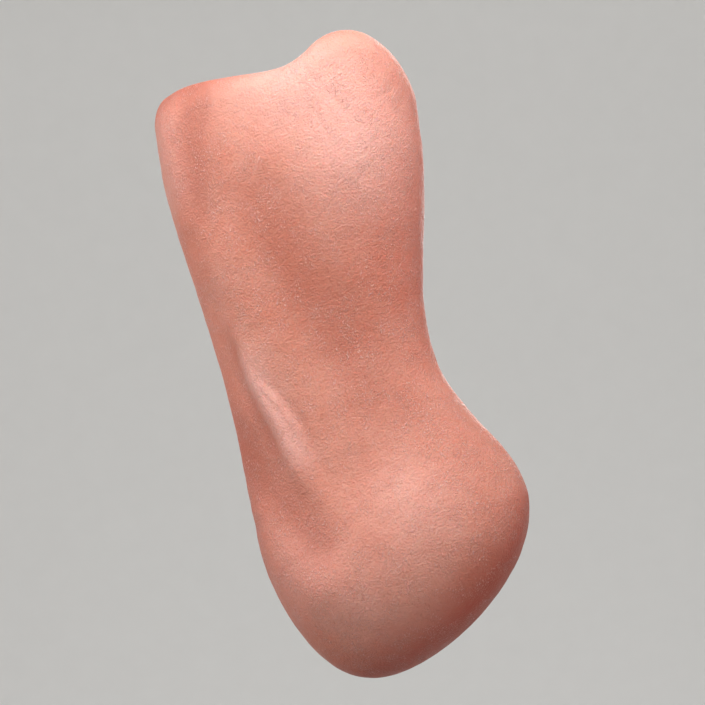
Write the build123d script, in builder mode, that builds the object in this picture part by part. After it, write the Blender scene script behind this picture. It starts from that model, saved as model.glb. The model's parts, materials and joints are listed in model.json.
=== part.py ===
from build123d import *
import math
import os

# Fingerless cosmetic hand with a friction wrist, hung from its wrist stud.
# +Z is up along the forearm, +X towards the thumb-side bulge, +Y towards the back of the hand.
# The origin is the mating plane at the foot of the stud's thread.  Sizes are in millimetres.

# ---------------------------------------------------------------- clearances
RUN = 0.05  # running clearance of turning and sliding faces
SEAT = 0.1  # assembly clearance between pieces that stay put
SPLIT = 0.3  # gap between neighbouring soft pieces of different bodies
AXIAL_PLAY = 0.15  # play of the rotor above its circlip

# ---------------------------------------------------------------- walls of the soft and moulded pieces
COVER_WALL = 2.2
SHELL_WALL = 2.5
LINER_WALL = 1.5

# ---------------------------------------------------------------- mounting stud, 1/2 inch thread
STUD_D = 12.7
STUD_LENGTH = 15.0
STUD_CHAMFER = 1.0
STUD_NECK_DEPTH = 0.75  # relief at the foot of the thread
STUD_HEAD_AF = 19.0
STUD_HEAD_T = 3.0
WASHER_D = 30.0
WASHER_T = 2.0
WASHER_PROUD = 0.6  # how far the rubber washer stands out of its recess

# ---------------------------------------------------------------- wrist housing
BORE_D = 38.0
HOUSING_WALL = 3.0
PLATE_T = 7.4  # end plate over the rotor
HOUSING_CHAMFER = 0.8
SKIRT_BELOW = 3.5  # skirt below the rotor's drum
FLANGE_T = 2.5
FLANGE_GAP = 1.0  # flange to the inside of the cover
FLANGE_ROOT_ROUND = 1.0
BULKHEAD_T = 4.0  # end wall of the forearm shell
HOUSING_SCREW_OUT = 4.0  # screws' centres to the outside of the housing
HOUSING_SCREW_ANGLES = (20, 160, 200, 340)
HOUSING_SCREW_D = 3.0
HOUSING_SCREW_HEAD_D = 5.5

# ---------------------------------------------------------------- rotor in the housing
DRUM_T = 12.8
DRUM_CHAMFER = 0.3
DRUM_ABOVE_GROOVE = 5.3
GROOVE_T = 4.0
GROOVE_DEPTH = 2.3
RING_SPLIT = 3.0
THRUST_T = 1.1
THRUST_INNER_D = 10.0
THRUST_TO_PIN = 0.8  # thrust washer's edge to the stop pin
NECK_CLEARANCE = 0.5  # neck to the ears of the circlip
NECK_T = 2.0
CIRCLIP_T = 1.5
CIRCLIP_DEPTH = 0.9  # depth of its groove in the bore
CIRCLIP_RADIAL = 2.9
CIRCLIP_EAR_R = 1.9
CIRCLIP_EAR_BACK = 0.5  # ear's edge to the ring's outer edge
CIRCLIP_EAR_HOLE_D = 1.6
CIRCLIP_EAR_ANGLE = 14.0
FRICTION_SCREW_D = 4.0
FRICTION_SCREW_AF = 2.0
FRICTION_SCREW_ANGLES = (90, 210, 330)
STOP_PIN_D = 3.0
STOP_PIN_INBOARD = 2.7  # pin's centre to the bore
STOP_PIN_IN_DRUM = 4.5
STOP_PIN_SHORT = 0.4  # pin's end to the floor of its slot
STOP_SLOT_DEPTH = 4.0
STOP_SLOT_CLEARANCE = 0.15
ROTATION_LIMIT = 45.0

# ---------------------------------------------------------------- flexion hinge
FLEXION_LIMIT = 35.0
BARREL_R = 10.5
BRIDGE_GAP = 0.5  # hinge barrel to the underside of the rotor's neck
TONGUE_T = 13.4
DISC_T = 1.2
DISC_SETBACK = 0.5  # disc's edge to the edge of the hinge barrel
EAR_T = 5.0
EAR_HALF_WIDTH = 12.1
EAR_SHANK_HALF_WIDTH = 7.4
EAR_FLARE_TOP = 9.0  # where the ear starts to widen, above the pivot
EAR_FLARE_BOTTOM = 3.0
STOP_PLANE = 12.5  # pivot to the tongue's flange
PIVOT_D = 8.0
PIVOT_HEAD_D = 13.0
PIVOT_HEAD_T = 5.0
PIVOT_HEAD_ROUND = 0.6
PIVOT_SOCKET_AF = 6.0
PIVOT_SOCKET_DEPTH = 3.0
PIVOT_END_SPARE = 0.8  # thread showing past the lock nut
SPRING_D = 16.0
SPRING_T = 0.9
SPRING_CONE = 0.35
SPRING_COUNT = 2
PLAIN_WASHER_D = 16.0
PLAIN_WASHER_T = 1.2
NUT_AF = 13.0
NUT_T = 4.6
NUT_COLLAR_T = 1.9
NUT_COLLAR_STEP = 0.7  # collar's edge to the nut's flats
BUSH_WALL = 1.45
TONGUE_WEB_HALF_WIDTH = 8.0
TONGUE_WEB_ROUND = 2.0
TONGUE_FLANGE_X = 34.0
TONGUE_FLANGE_Y = 30.0
TONGUE_FLANGE_T = 5.0
TONGUE_FLANGE_CORNER = 5.0
TONGUE_SCREW_EDGE = 4.0  # screws' centres to the flange's edges
TONGUE_SCREW_D = 4.0
TONGUE_SCREW_HEAD_D = 7.4
INSERT_WALL = 0.8  # wall of the threaded brass inserts
SOCKET_SHARE = 0.3  # a screw's hexagon socket, as a share of its diameter

# ---------------------------------------------------------------- palm frame and foam
FRAME_PLATE_T = 4.0
FRAME_MARGIN = 13.0  # frame's edge to the outside of the hand
FRAME_RIM_Y = 14.0
FRAME_RIM_T = 3.0
FRAME_WEB_T = 4.0
FRAME_RIB_T = 2.4
FRAME_RIBS_BELOW = (48, 65)  # heights of the cross ribs below the pivot
FRAME_HOLE_D = 11.0
FRAME_HOLES = ((-39, (-2, 18)), (-56.5, (-3, 14, 31)), (-74, (4, 21)))  # height from the pivot, places in X
FRAME_LEFT_BELOW = (40, 57, 72)  # heights of its outline's points below the pivot
FRAME_RIGHT_BELOW = (74, 61, 45, 31)
FOAM_BELOW_FRAME = 0.4  # top of the foam to the top of the frame's plate
SPLIT_ABOVE_FOAM = 1.0  # end of the cover's stretching middle to the foam

# ---------------------------------------------------------------- sizes that follow from the ones above
STUD_NECK_D = STUD_D - 2 * STUD_NECK_DEPTH
HOUSING_D = BORE_D + 2 * HOUSING_WALL
HOUSING_SCREW_RING_R = HOUSING_D / 2 + HOUSING_SCREW_OUT
STOP_PIN_RING_R = BORE_D / 2 - STOP_PIN_INBOARD
THRUST_OUTER_D = 2 * STOP_PIN_RING_R - STOP_PIN_D - 2 * THRUST_TO_PIN
CIRCLIP_D = BORE_D + 2 * CIRCLIP_DEPTH - 2 * SEAT
CIRCLIP_EAR_RING_R = CIRCLIP_D / 2 - CIRCLIP_EAR_BACK - CIRCLIP_EAR_R
NECK_D = 2 * (CIRCLIP_EAR_RING_R - CIRCLIP_EAR_R - NECK_CLEARANCE)
DISC_D = 2 * BARREL_R - 2 * DISC_SETBACK
NUT_COLLAR_D = NUT_AF - 2 * NUT_COLLAR_STEP
BUSH_D = PIVOT_D + 2 * RUN + 2 * BUSH_WALL
TONGUE_SCREW_X = TONGUE_FLANGE_X / 2 - TONGUE_SCREW_EDGE
TONGUE_SCREW_Y = TONGUE_FLANGE_Y / 2 - TONGUE_SCREW_EDGE

# ---------------------------------------------------------------- stations along the axis
PLATE_TOP = -WASHER_PROUD
PLATE_BOTTOM = PLATE_TOP - PLATE_T
DRUM_TOP = PLATE_BOTTOM - THRUST_T - 2 * RUN
DRUM_BOTTOM = DRUM_TOP - DRUM_T
GROOVE_TOP = DRUM_TOP - DRUM_ABOVE_GROOVE
GROOVE_MIDDLE = GROOVE_TOP - GROOVE_T / 2
CIRCLIP_TOP = DRUM_BOTTOM - AXIAL_PLAY
SKIRT_BOTTOM = DRUM_BOTTOM - SKIRT_BELOW
NECK_BOTTOM = DRUM_BOTTOM - NECK_T
PIVOT_Z = NECK_BOTTOM - BRIDGE_GAP - BARREL_R
FLANGE_TOP = PIVOT_Z - STOP_PLANE
FLANGE_BOTTOM = FLANGE_TOP - TONGUE_FLANGE_T
FRAME_TOP = FLANGE_BOTTOM - SEAT
FRAME_PLATE_BOTTOM = FRAME_TOP - FRAME_PLATE_T
BULKHEAD_BOTTOM = PLATE_BOTTOM
BULKHEAD_TOP = BULKHEAD_BOTTOM + BULKHEAD_T
FOAM_TOP = FRAME_TOP - FOAM_BELOW_FRAME
COVER_SPLIT_BOTTOM = FOAM_TOP + SPLIT_ABOVE_FOAM
COVER_SPLIT_TOP = 2 * PIVOT_Z - COVER_SPLIT_BOTTOM

# ---------------------------------------------------------------- outer form of the cover
FOREARM_WIDTH = 80.7
FOREARM_THICK = 68.0
HOUSING_ROOM = 0.8  # housing to the inside of the cover, at the narrowest place
WRIST_SIDE_ROOM = 10.5  # housing to the outside of the cover at its sides, where the flange's screws sit
WRIST_THICK = HOUSING_D + 2 * (COVER_WALL + HOUSING_ROOM)
WRIST_WIDTH = HOUSING_D + 2 * WRIST_SIDE_ROOM
PALM_WIDTH = 84.2
PALM_THICK = 58.0
PALM_CENTRE_X = 14.9
TIP_DROP = 49.4  # height of the rounded end below the widest palm section
TIP_CENTRE_X = 5.0
TIP_POWER = 1.6  # how full the rounded end is: 2 is an ellipse
# height above the pivot, share of the way from the wrist's size to the forearm's, centre in X
FOREARM_SECTIONS = ((110, 1.0, -1.8), (75, 1.0, -1.8), (55, 0.86, -1.6), (35, 0.49, -1.3), (19, 0.17, -0.9))
WRIST_SECTION = (2, 0.0, 0.5)
# the same, from the wrist's size to the palm's
PALM_SECTIONS = ((-11, 0.09, 3.1), (-24, 0.46, 7.8), (-35, 0.83, 12.0), (-46, 0.995, 14.5))
TIP_BELOW = 49.0  # widest palm section, where the rounded end starts, below the pivot
TIP_SHARES = (0.14, 0.32, 0.5, 0.68, 0.83, 0.94, 0.985)  # how far down the rounded end its sections lie
# top edge of the cuff: X and height above the mating plane, with a hump over the thumb side
BRIM = (
    (-60, 55.0),
    (-34, 55.8),
    (-12, 57.0),
    (1, 58.6),
    (9, 63.4),
    (18, 66.8),
    (27, 64.4),
    (36, 56.0),
    (46, 44.0),
)
RIM_T = 5.0  # thickness of the rolled rim above the shell's edge
RIM_FLAT = 0.9  # width of the rim left flat inside its rounded edge
RIM_ROUND = COVER_WALL + SEAT + SHELL_WALL + SEAT + LINER_WALL - RIM_FLAT
CUT_SPAN = 140.0  # reach of the cutting solids past the part

os.makedirs("parts", exist_ok=True)


def write(builder, name):
    """Labels a finished piece and writes it as one STEP file."""
    builder.part.label = name
    export_step(builder.part, f"parts/{name}.step")


def cover_sections():
    """Sections of the outer form above its rounded end: height, centre in X, half width, half thickness."""
    sections = []
    for rows, width, thick in (
        (FOREARM_SECTIONS, FOREARM_WIDTH, FOREARM_THICK),
        ((WRIST_SECTION,), WRIST_WIDTH, WRIST_THICK),
        (PALM_SECTIONS, PALM_WIDTH, PALM_THICK),
    ):
        for above, share, centre in rows:
            half_width = (WRIST_WIDTH + share * (width - WRIST_WIDTH)) / 2
            half_thick = (WRIST_THICK + share * (thick - WRIST_THICK)) / 2
            sections.append((PIVOT_Z + above, centre, half_width, half_thick))
    return sections


def tip_fullness(share):
    """Width of the rounded end at a share of its height, as a share of its full width."""
    return math.sqrt(1 - share**TIP_POWER)


def tip_centre(share):
    """Centre in X of the rounded end at a share of its height."""
    return PALM_CENTRE_X + (TIP_CENTRE_X - PALM_CENTRE_X) * share**2


def body_form(inset):
    """Solid of the outer form moved in by inset, from above the brim to the rounded lower end."""
    with BuildPart() as form:
        for height, centre, half_width, half_thick in cover_sections():
            with BuildSketch(Plane.XY.offset(height)):
                with Locations((centre, 0)):
                    Ellipse(half_width - inset, half_thick - inset)
        tip_top = PIVOT_Z - TIP_BELOW
        for share in TIP_SHARES:
            with BuildSketch(Plane.XY.offset(tip_top - (TIP_DROP - inset) * share)):
                with Locations((tip_centre(share), 0)):
                    full = tip_fullness(share)
                    Ellipse((PALM_WIDTH / 2 - inset) * full, (PALM_THICK / 2 - inset) * full)
        loft()
    return form.part


def above_brim(drop):
    """Cutting solid of everything above the cuff's top edge, lowered by drop."""
    with BuildPart() as cutter:
        with BuildSketch(Plane.XZ):
            with BuildLine():
                edge = Spline(*[(x, z - drop) for x, z in BRIM])
                Polyline(edge @ 1, (CUT_SPAN, CUT_SPAN), (-CUT_SPAN, CUT_SPAN), edge @ 0)
            make_face()
        extrude(amount=CUT_SPAN, both=True)
    return cutter.part


def edge_at(height, side):
    """X of the outer form's left (-1) or right (1) edge at a height, straight between its sections."""
    sections = cover_sections()
    if height < sections[-1][0]:
        share = max(PIVOT_Z - TIP_BELOW - height, 0) / TIP_DROP
        return tip_centre(share) + side * PALM_WIDTH / 2 * tip_fullness(share)
    for upper, lower in zip(sections, sections[1:]):
        if lower[0] <= height <= upper[0]:
            part_way = (upper[0] - height) / (upper[0] - lower[0])
            centre = upper[1] + part_way * (lower[1] - upper[1])
            half_width = upper[2] + part_way * (lower[2] - upper[2])
            return centre + side * half_width


def half_thick_at(height):
    """Half thickness of the outer form at a height above its rounded end, straight between sections."""
    sections = cover_sections()
    for upper, lower in zip(sections, sections[1:]):
        if lower[0] <= height <= upper[0]:
            part_way = (upper[0] - height) / (upper[0] - lower[0])
            return upper[3] + part_way * (lower[3] - upper[3])


def frame_sketch(inward):
    """Outline of the palm frame below its top plate, moved in by inward."""
    top_corner = TONGUE_FLANGE_X / 2 - inward
    top = FRAME_PLATE_BOTTOM - inward
    margin = FRAME_MARGIN + inward
    bottom = PIVOT_Z - TIP_BELOW - TIP_DROP + margin
    left = [(edge_at(PIVOT_Z - below, -1) + margin, PIVOT_Z - below) for below in FRAME_LEFT_BELOW]
    right = [(edge_at(PIVOT_Z - below, 1) - margin, PIVOT_Z - below) for below in FRAME_RIGHT_BELOW]
    with BuildSketch() as outline:
        with BuildLine():
            sides = Spline((-top_corner, top), *left, (TIP_CENTRE_X, bottom), *right, (top_corner, top))
            Line(sides @ 1, sides @ 0)
        make_face()
    return outline.sketch


def ring_places(radius, angles):
    """Places on a circle about Z, as (x, y) pairs."""
    return [(radius * math.cos(math.radians(a)), radius * math.sin(math.radians(a))) for a in angles]


def countersunk_screw(diameter, head_d, length, up):
    """Countersunk screw along Z with its flat head face at the origin; up is 1 when the shank rises."""
    shank_r = diameter / 2 - RUN
    with BuildPart() as screw:
        with BuildSketch(Plane.XZ):
            with BuildLine():
                Polyline(
                    (0, 0),
                    (head_d / 2, 0),
                    (shank_r, up * (head_d / 2 - shank_r)),
                    (shank_r, up * length),
                    (0, up * length),
                    close=True,
                )
            make_face()
        revolve(axis=Axis.Z)
        with BuildSketch(Plane.XY):
            RegularPolygon(radius=SOCKET_SHARE * diameter, side_count=6)
        extrude(amount=up * SOCKET_SHARE * diameter, mode=Mode.SUBTRACT)
    return screw.part


def threaded_insert(screw_d, length):
    """Brass insert about Z, centred on the origin, with a groove round its middle."""
    outer_r = screw_d / 2 + INSERT_WALL
    with BuildPart() as insert:
        Cylinder(outer_r, length)
        with BuildSketch(Plane.XZ):
            with Locations((outer_r, 0)):
                Rectangle(INSERT_WALL, length / 4)
        revolve(axis=Axis.Z, mode=Mode.SUBTRACT)
        Hole(screw_d / 2)
    return insert.part


def radial_plane(angle, distance, height):
    """Plane facing away from Z at an angle, distance and height."""
    outward = (math.cos(math.radians(angle)), math.sin(math.radians(angle)), 0)
    return Plane((distance * outward[0], distance * outward[1], height), z_dir=outward)


def ring_solid(outer_d, inner_d, top, thickness):
    """Flat ring about Z, hanging down from top."""
    with BuildPart() as ring:
        with BuildSketch(Plane.XY.offset(top)):
            Circle(outer_d / 2)
            Circle(inner_d / 2, mode=Mode.SUBTRACT)
        extrude(amount=-thickness)
    return ring.part


def pivot_ring(outer_d, inner_d, x_start, thickness):
    """Flat ring about the pivot axis, from x_start towards +X."""
    with BuildPart() as ring:
        with BuildSketch(Plane.YZ.offset(x_start)):
            with Locations((0, PIVOT_Z)):
                Circle(outer_d / 2)
                Circle(inner_d / 2, mode=Mode.SUBTRACT)
        extrude(amount=thickness)
    return ring.part


# ================================================================ cuff: cover, shell and liner
pivot_axis = Axis((0, 0, PIVOT_Z), (1, 0, 0))
housing_screw_places = ring_places(HOUSING_SCREW_RING_R, HOUSING_SCREW_ANGLES)
tongue_screw_places = [(x * TONGUE_SCREW_X, y * TONGUE_SCREW_Y) for x in (-1, 1) for y in (-1, 1)]

shell_inset = COVER_WALL + SEAT
liner_inset = shell_inset + SHELL_WALL + SEAT
cavity_inset = liner_inset + LINER_WALL

outer_form = body_form(0)
cover_inside = body_form(COVER_WALL)
shell_outside = body_form(shell_inset)
shell_inside = body_form(shell_inset + SHELL_WALL)
liner_outside = body_form(liner_inset)
cavity = body_form(cavity_inset)

with BuildPart() as cover_pocket:
    add(cover_inside)
    add(above_brim(RIM_T), mode=Mode.SUBTRACT)

with BuildPart() as forearm_skin:
    add(outer_form)
    add(above_brim(0), mode=Mode.SUBTRACT)
    rim = forearm_skin.edges().filter_by(lambda edge: edge.center().Z > BULKHEAD_TOP)
    fillet(rim, RIM_ROUND)
    add(cover_pocket.part, mode=Mode.SUBTRACT)
    add(cavity, mode=Mode.SUBTRACT)
    split(bisect_by=Plane.XY.offset(COVER_SPLIT_TOP + SPLIT / 2), keep=Keep.TOP)
write(forearm_skin, "forearm_skin")

with BuildPart() as shell_room:
    add(shell_inside)
    split(bisect_by=Plane.XY.offset(BULKHEAD_TOP), keep=Keep.TOP)

with BuildPart() as forearm_shell:
    add(shell_outside)
    add(above_brim(RIM_T + SEAT), mode=Mode.SUBTRACT)
    split(bisect_by=Plane.XY.offset(BULKHEAD_BOTTOM), keep=Keep.TOP)
    add(shell_room.part, mode=Mode.SUBTRACT)
    with BuildSketch(Plane.XY.offset(BULKHEAD_BOTTOM)):
        Circle(HOUSING_D / 2 + SEAT)
    extrude(amount=PLATE_TOP - BULKHEAD_BOTTOM, mode=Mode.SUBTRACT)
    with BuildSketch(Plane.XY.offset(BULKHEAD_BOTTOM)):
        with Locations(*housing_screw_places):
            Circle(HOUSING_SCREW_D / 2 + INSERT_WALL + SEAT)
    extrude(amount=BULKHEAD_T, mode=Mode.SUBTRACT)
write(forearm_shell, "forearm_shell")

with BuildPart() as forearm_liner:
    add(liner_outside)
    add(cavity, mode=Mode.SUBTRACT)
    add(above_brim(RIM_T + SEAT), mode=Mode.SUBTRACT)
    split(bisect_by=Plane.XY.offset(BULKHEAD_TOP + SEAT), keep=Keep.TOP)
    with BuildSketch(Plane.XY.offset(BULKHEAD_TOP)):
        Circle(HOUSING_D / 2 + SEAT)
    extrude(amount=PLATE_TOP - BULKHEAD_TOP, mode=Mode.SUBTRACT)
write(forearm_liner, "forearm_liner")

with BuildPart() as shell_inserts:
    with Locations(*[(x, y, BULKHEAD_BOTTOM + BULKHEAD_T / 2) for x, y in housing_screw_places]):
        add(threaded_insert(HOUSING_SCREW_D, BULKHEAD_T - 2 * SEAT))
write(shell_inserts, "shell_inserts")

# ================================================================ cuff: wrist housing and stud
stud_hole_r = STUD_D / 2 + SEAT
recess_floor = -WASHER_T
stud_head_top = PLATE_BOTTOM + STUD_HEAD_T
flange_centre = (edge_at(PLATE_BOTTOM, -1) + edge_at(PLATE_BOTTOM, 1)) / 2
flange_half_x = (edge_at(PLATE_BOTTOM, 1) - edge_at(PLATE_BOTTOM, -1)) / 2 - COVER_WALL - FLANGE_GAP
flange_half_y = half_thick_at(PLATE_BOTTOM) - COVER_WALL - FLANGE_GAP
flange_face = PLATE_BOTTOM - FLANGE_T

with BuildPart() as wrist_housing:
    with BuildSketch(Plane.XZ):
        with BuildLine():
            Polyline(
                (stud_hole_r, recess_floor),
                (WASHER_D / 2 + SEAT, recess_floor),
                (WASHER_D / 2 + SEAT, PLATE_TOP),
                (HOUSING_D / 2, PLATE_TOP),
                (HOUSING_D / 2, SKIRT_BOTTOM),
                (BORE_D / 2, SKIRT_BOTTOM),
                (BORE_D / 2, PLATE_BOTTOM),
                (stud_hole_r, PLATE_BOTTOM),
                close=True,
            )
        make_face()
    revolve(axis=Axis.Z)
    chamfer(wrist_housing.edges().filter_by(GeomType.CIRCLE).group_by(SortBy.RADIUS)[-1], HOUSING_CHAMFER)
    with BuildSketch(Plane.XY.offset(PLATE_BOTTOM)):
        with Locations((flange_centre, 0)):
            Ellipse(flange_half_x, flange_half_y)
        Circle(BORE_D / 2, mode=Mode.SUBTRACT)
    extrude(amount=-FLANGE_T)
    flange_edges = wrist_housing.edges().filter_by_position(Axis.Z, flange_face, flange_face)
    fillet(flange_edges.filter_by(GeomType.CIRCLE), FLANGE_ROOT_ROUND)
    with Locations(*[Plane((x, y, flange_face), z_dir=(0, 0, -1)) for x, y in housing_screw_places]):
        CounterSinkHole(
            radius=HOUSING_SCREW_D / 2,
            counter_sink_radius=HOUSING_SCREW_HEAD_D / 2 + SEAT,
            depth=FLANGE_T,
            counter_sink_angle=90,
        )
    # hexagonal pocket that keeps the stud from turning
    with BuildSketch(Plane.XY.offset(PLATE_BOTTOM)):
        RegularPolygon(radius=STUD_HEAD_AF / 2 + SEAT, side_count=6, major_radius=False)
    extrude(amount=STUD_HEAD_T + SEAT, mode=Mode.SUBTRACT)
    # arc slot that limits the rotation
    with BuildSketch(Plane.XY.offset(PLATE_BOTTOM)):
        SlotArc(
            CenterArc((0, 0), STOP_PIN_RING_R, 90 - ROTATION_LIMIT, 2 * ROTATION_LIMIT, mode=Mode.PRIVATE),
            height=STOP_PIN_D + 2 * STOP_SLOT_CLEARANCE,
        )
    extrude(amount=STOP_SLOT_DEPTH, mode=Mode.SUBTRACT)
    # groove of the circlip
    with BuildSketch(Plane.XZ):
        with Locations((BORE_D / 2, CIRCLIP_TOP + RUN)):
            Rectangle(CIRCLIP_DEPTH, CIRCLIP_T + 2 * RUN, align=(Align.MIN, Align.MAX))
    revolve(axis=Axis.Z, mode=Mode.SUBTRACT)
    # threaded holes of the set screws
    for angle in FRICTION_SCREW_ANGLES:
        with BuildSketch(radial_plane(angle, BORE_D / 2 - GROOVE_DEPTH, GROOVE_MIDDLE)):
            Circle(FRICTION_SCREW_D / 2)
        extrude(amount=HOUSING_D / 2, mode=Mode.SUBTRACT)
write(wrist_housing, "wrist_housing")

with BuildPart() as mount_stud:
    with BuildSketch(Plane.XZ):
        with BuildLine():
            Polyline(
                (0, stud_head_top),
                (STUD_D / 2, stud_head_top),
                (STUD_D / 2, recess_floor),
                (STUD_NECK_D / 2, recess_floor),
                (STUD_NECK_D / 2, 0),
                (STUD_D / 2, 0),
                (STUD_D / 2, STUD_LENGTH - STUD_CHAMFER),
                (STUD_D / 2 - STUD_CHAMFER, STUD_LENGTH),
                (0, STUD_LENGTH),
                close=True,
            )
        make_face()
    revolve(axis=Axis.Z)
    with BuildSketch(Plane.XY.offset(stud_head_top)):
        RegularPolygon(radius=STUD_HEAD_AF / 2, side_count=6, major_radius=False)
    extrude(amount=-STUD_HEAD_T)
write(mount_stud, "mount_stud")

with BuildPart() as friction_washer:
    add(ring_solid(WASHER_D, STUD_D + 2 * SEAT, 0, WASHER_T))
    fillet(friction_washer.edges().group_by(Axis.Z)[-1], WASHER_PROUD / 2)
write(friction_washer, "friction_washer")

with BuildPart() as housing_screws:
    with Locations(*[(x, y, flange_face) for x, y in housing_screw_places]):
        add(countersunk_screw(HOUSING_SCREW_D, HOUSING_SCREW_HEAD_D, FLANGE_T + BULKHEAD_T - SEAT, 1))
write(housing_screws, "housing_screws")

# ================================================================ cuff: friction ring and circlip
drum_r = BORE_D / 2 - RUN
groove_r = drum_r - GROOVE_DEPTH

with BuildPart() as friction_ring:
    add(ring_solid(BORE_D - 2 * RUN, 2 * (groove_r + RUN), GROOVE_TOP - SEAT, GROOVE_T - 2 * SEAT))
    with BuildSketch(Plane.XY.offset(GROOVE_TOP)):
        with Locations((0, -BORE_D / 2)):
            Rectangle(RING_SPLIT, BORE_D / 2)
    extrude(amount=-GROOVE_T, mode=Mode.SUBTRACT)
write(friction_ring, "friction_ring")

with BuildPart() as friction_screws:
    for angle in FRICTION_SCREW_ANGLES:
        with BuildSketch(radial_plane(angle, BORE_D / 2, GROOVE_MIDDLE)):
            Circle(FRICTION_SCREW_D / 2 - RUN)
        extrude(amount=(HOUSING_D - BORE_D) / 2 - SEAT)
        with BuildSketch(radial_plane(angle, HOUSING_D / 2 - SEAT, GROOVE_MIDDLE)):
            RegularPolygon(radius=FRICTION_SCREW_AF / 2, side_count=6, major_radius=False)
        extrude(amount=-FRICTION_SCREW_AF / 2, mode=Mode.SUBTRACT)
write(friction_screws, "friction_screws")

circlip_ears = ring_places(CIRCLIP_EAR_RING_R, (270 - CIRCLIP_EAR_ANGLE, 270 + CIRCLIP_EAR_ANGLE))

with BuildPart() as circlip:
    with BuildSketch(Plane.XY.offset(CIRCLIP_TOP)):
        Circle(CIRCLIP_D / 2)
        Circle(CIRCLIP_D / 2 - CIRCLIP_RADIAL, mode=Mode.SUBTRACT)
        with BuildLine():
            Polyline((0, 0), *[(2 * x, 2 * y) for x, y in circlip_ears], close=True)
        make_face(mode=Mode.SUBTRACT)
        with Locations(*circlip_ears):
            Circle(CIRCLIP_EAR_R)
            Circle(CIRCLIP_EAR_HOLE_D / 2, mode=Mode.SUBTRACT)
    extrude(amount=-CIRCLIP_T)
write(circlip, "circlip")

# ================================================================ rotor: fork and stops
ear_start_x = TONGUE_T / 2 + DISC_T + 2 * RUN
stop_angle = math.radians(FLEXION_LIMIT)
stop_r = STOP_PLANE - RUN
stop_y = stop_r * math.sin(stop_angle)
stop_z = PIVOT_Z - stop_r * math.cos(stop_angle)
facet_end_z = stop_z + (EAR_HALF_WIDTH - stop_y) * math.tan(stop_angle)

with BuildPart() as wrist_fork:
    with BuildSketch(Plane.XZ):
        with BuildLine():
            Polyline(
                (0, DRUM_TOP),
                (drum_r, DRUM_TOP),
                (drum_r, GROOVE_TOP),
                (groove_r, GROOVE_TOP),
                (groove_r, GROOVE_TOP - GROOVE_T),
                (drum_r, GROOVE_TOP - GROOVE_T),
                (drum_r, DRUM_BOTTOM),
                (NECK_D / 2, DRUM_BOTTOM),
                (NECK_D / 2, NECK_BOTTOM),
                (0, NECK_BOTTOM),
                close=True,
            )
        make_face()
    revolve(axis=Axis.Z)
    chamfer(wrist_fork.edges().filter_by(GeomType.CIRCLE).group_by(SortBy.RADIUS)[-1], DRUM_CHAMFER)
    # two ears, faceted where the tongue's flange stops against them
    for side in (-1, 1):
        with BuildSketch(Plane.YZ.offset(side * (ear_start_x + EAR_T / 2))):
            with BuildLine():
                ThreePointArc((-stop_y, stop_z), (0, PIVOT_Z - stop_r), (stop_y, stop_z))
                Polyline(
                    (stop_y, stop_z),
                    (EAR_HALF_WIDTH, facet_end_z),
                    (EAR_HALF_WIDTH, PIVOT_Z + EAR_FLARE_BOTTOM),
                    (EAR_SHANK_HALF_WIDTH, PIVOT_Z + EAR_FLARE_TOP),
                    (EAR_SHANK_HALF_WIDTH, NECK_BOTTOM),
                    (-EAR_SHANK_HALF_WIDTH, NECK_BOTTOM),
                    (-EAR_SHANK_HALF_WIDTH, PIVOT_Z + EAR_FLARE_TOP),
                    (-EAR_HALF_WIDTH, PIVOT_Z + EAR_FLARE_BOTTOM),
                    (-EAR_HALF_WIDTH, facet_end_z),
                    (-stop_y, stop_z),
                )
            make_face()
        extrude(amount=EAR_T / 2, both=True)
    with BuildSketch(Plane.YZ):
        with Locations((0, PIVOT_Z)):
            Circle(PIVOT_D / 2 + RUN)
    extrude(amount=CUT_SPAN, both=True, mode=Mode.SUBTRACT)
    with BuildSketch(Plane.XY.offset(DRUM_TOP)):
        with Locations((0, STOP_PIN_RING_R)):
            Circle(STOP_PIN_D / 2)
    extrude(amount=-STOP_PIN_IN_DRUM, mode=Mode.SUBTRACT)
write(wrist_fork, "wrist_fork")

with BuildPart() as thrust_washer:
    add(ring_solid(THRUST_OUTER_D, THRUST_INNER_D, DRUM_TOP + RUN + THRUST_T, THRUST_T))
write(thrust_washer, "thrust_washer")

with BuildPart() as rotation_stop_pin:
    with BuildSketch(Plane.XY.offset(DRUM_TOP - STOP_PIN_IN_DRUM)):
        with Locations((0, STOP_PIN_RING_R)):
            Circle(STOP_PIN_D / 2)
    extrude(amount=STOP_PIN_IN_DRUM + PLATE_BOTTOM - DRUM_TOP + STOP_SLOT_DEPTH - STOP_PIN_SHORT)
    chamfer(rotation_stop_pin.edges().group_by(Axis.Z)[-1], STOP_PIN_SHORT)
write(rotation_stop_pin, "rotation_stop_pin")

# ================================================================ rotor: pivot bolt and its stack
ear_end_x = ear_start_x + EAR_T
head_x = ear_end_x + RUN
spring_h = SPRING_T + SPRING_CONE
washer_x = -head_x - SPRING_COUNT * spring_h - RUN
nut_x = washer_x - PLAIN_WASHER_T - RUN
nut_end_x = nut_x - NUT_T - NUT_COLLAR_T
bolt_end_x = nut_end_x - PIVOT_END_SPARE

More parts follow.
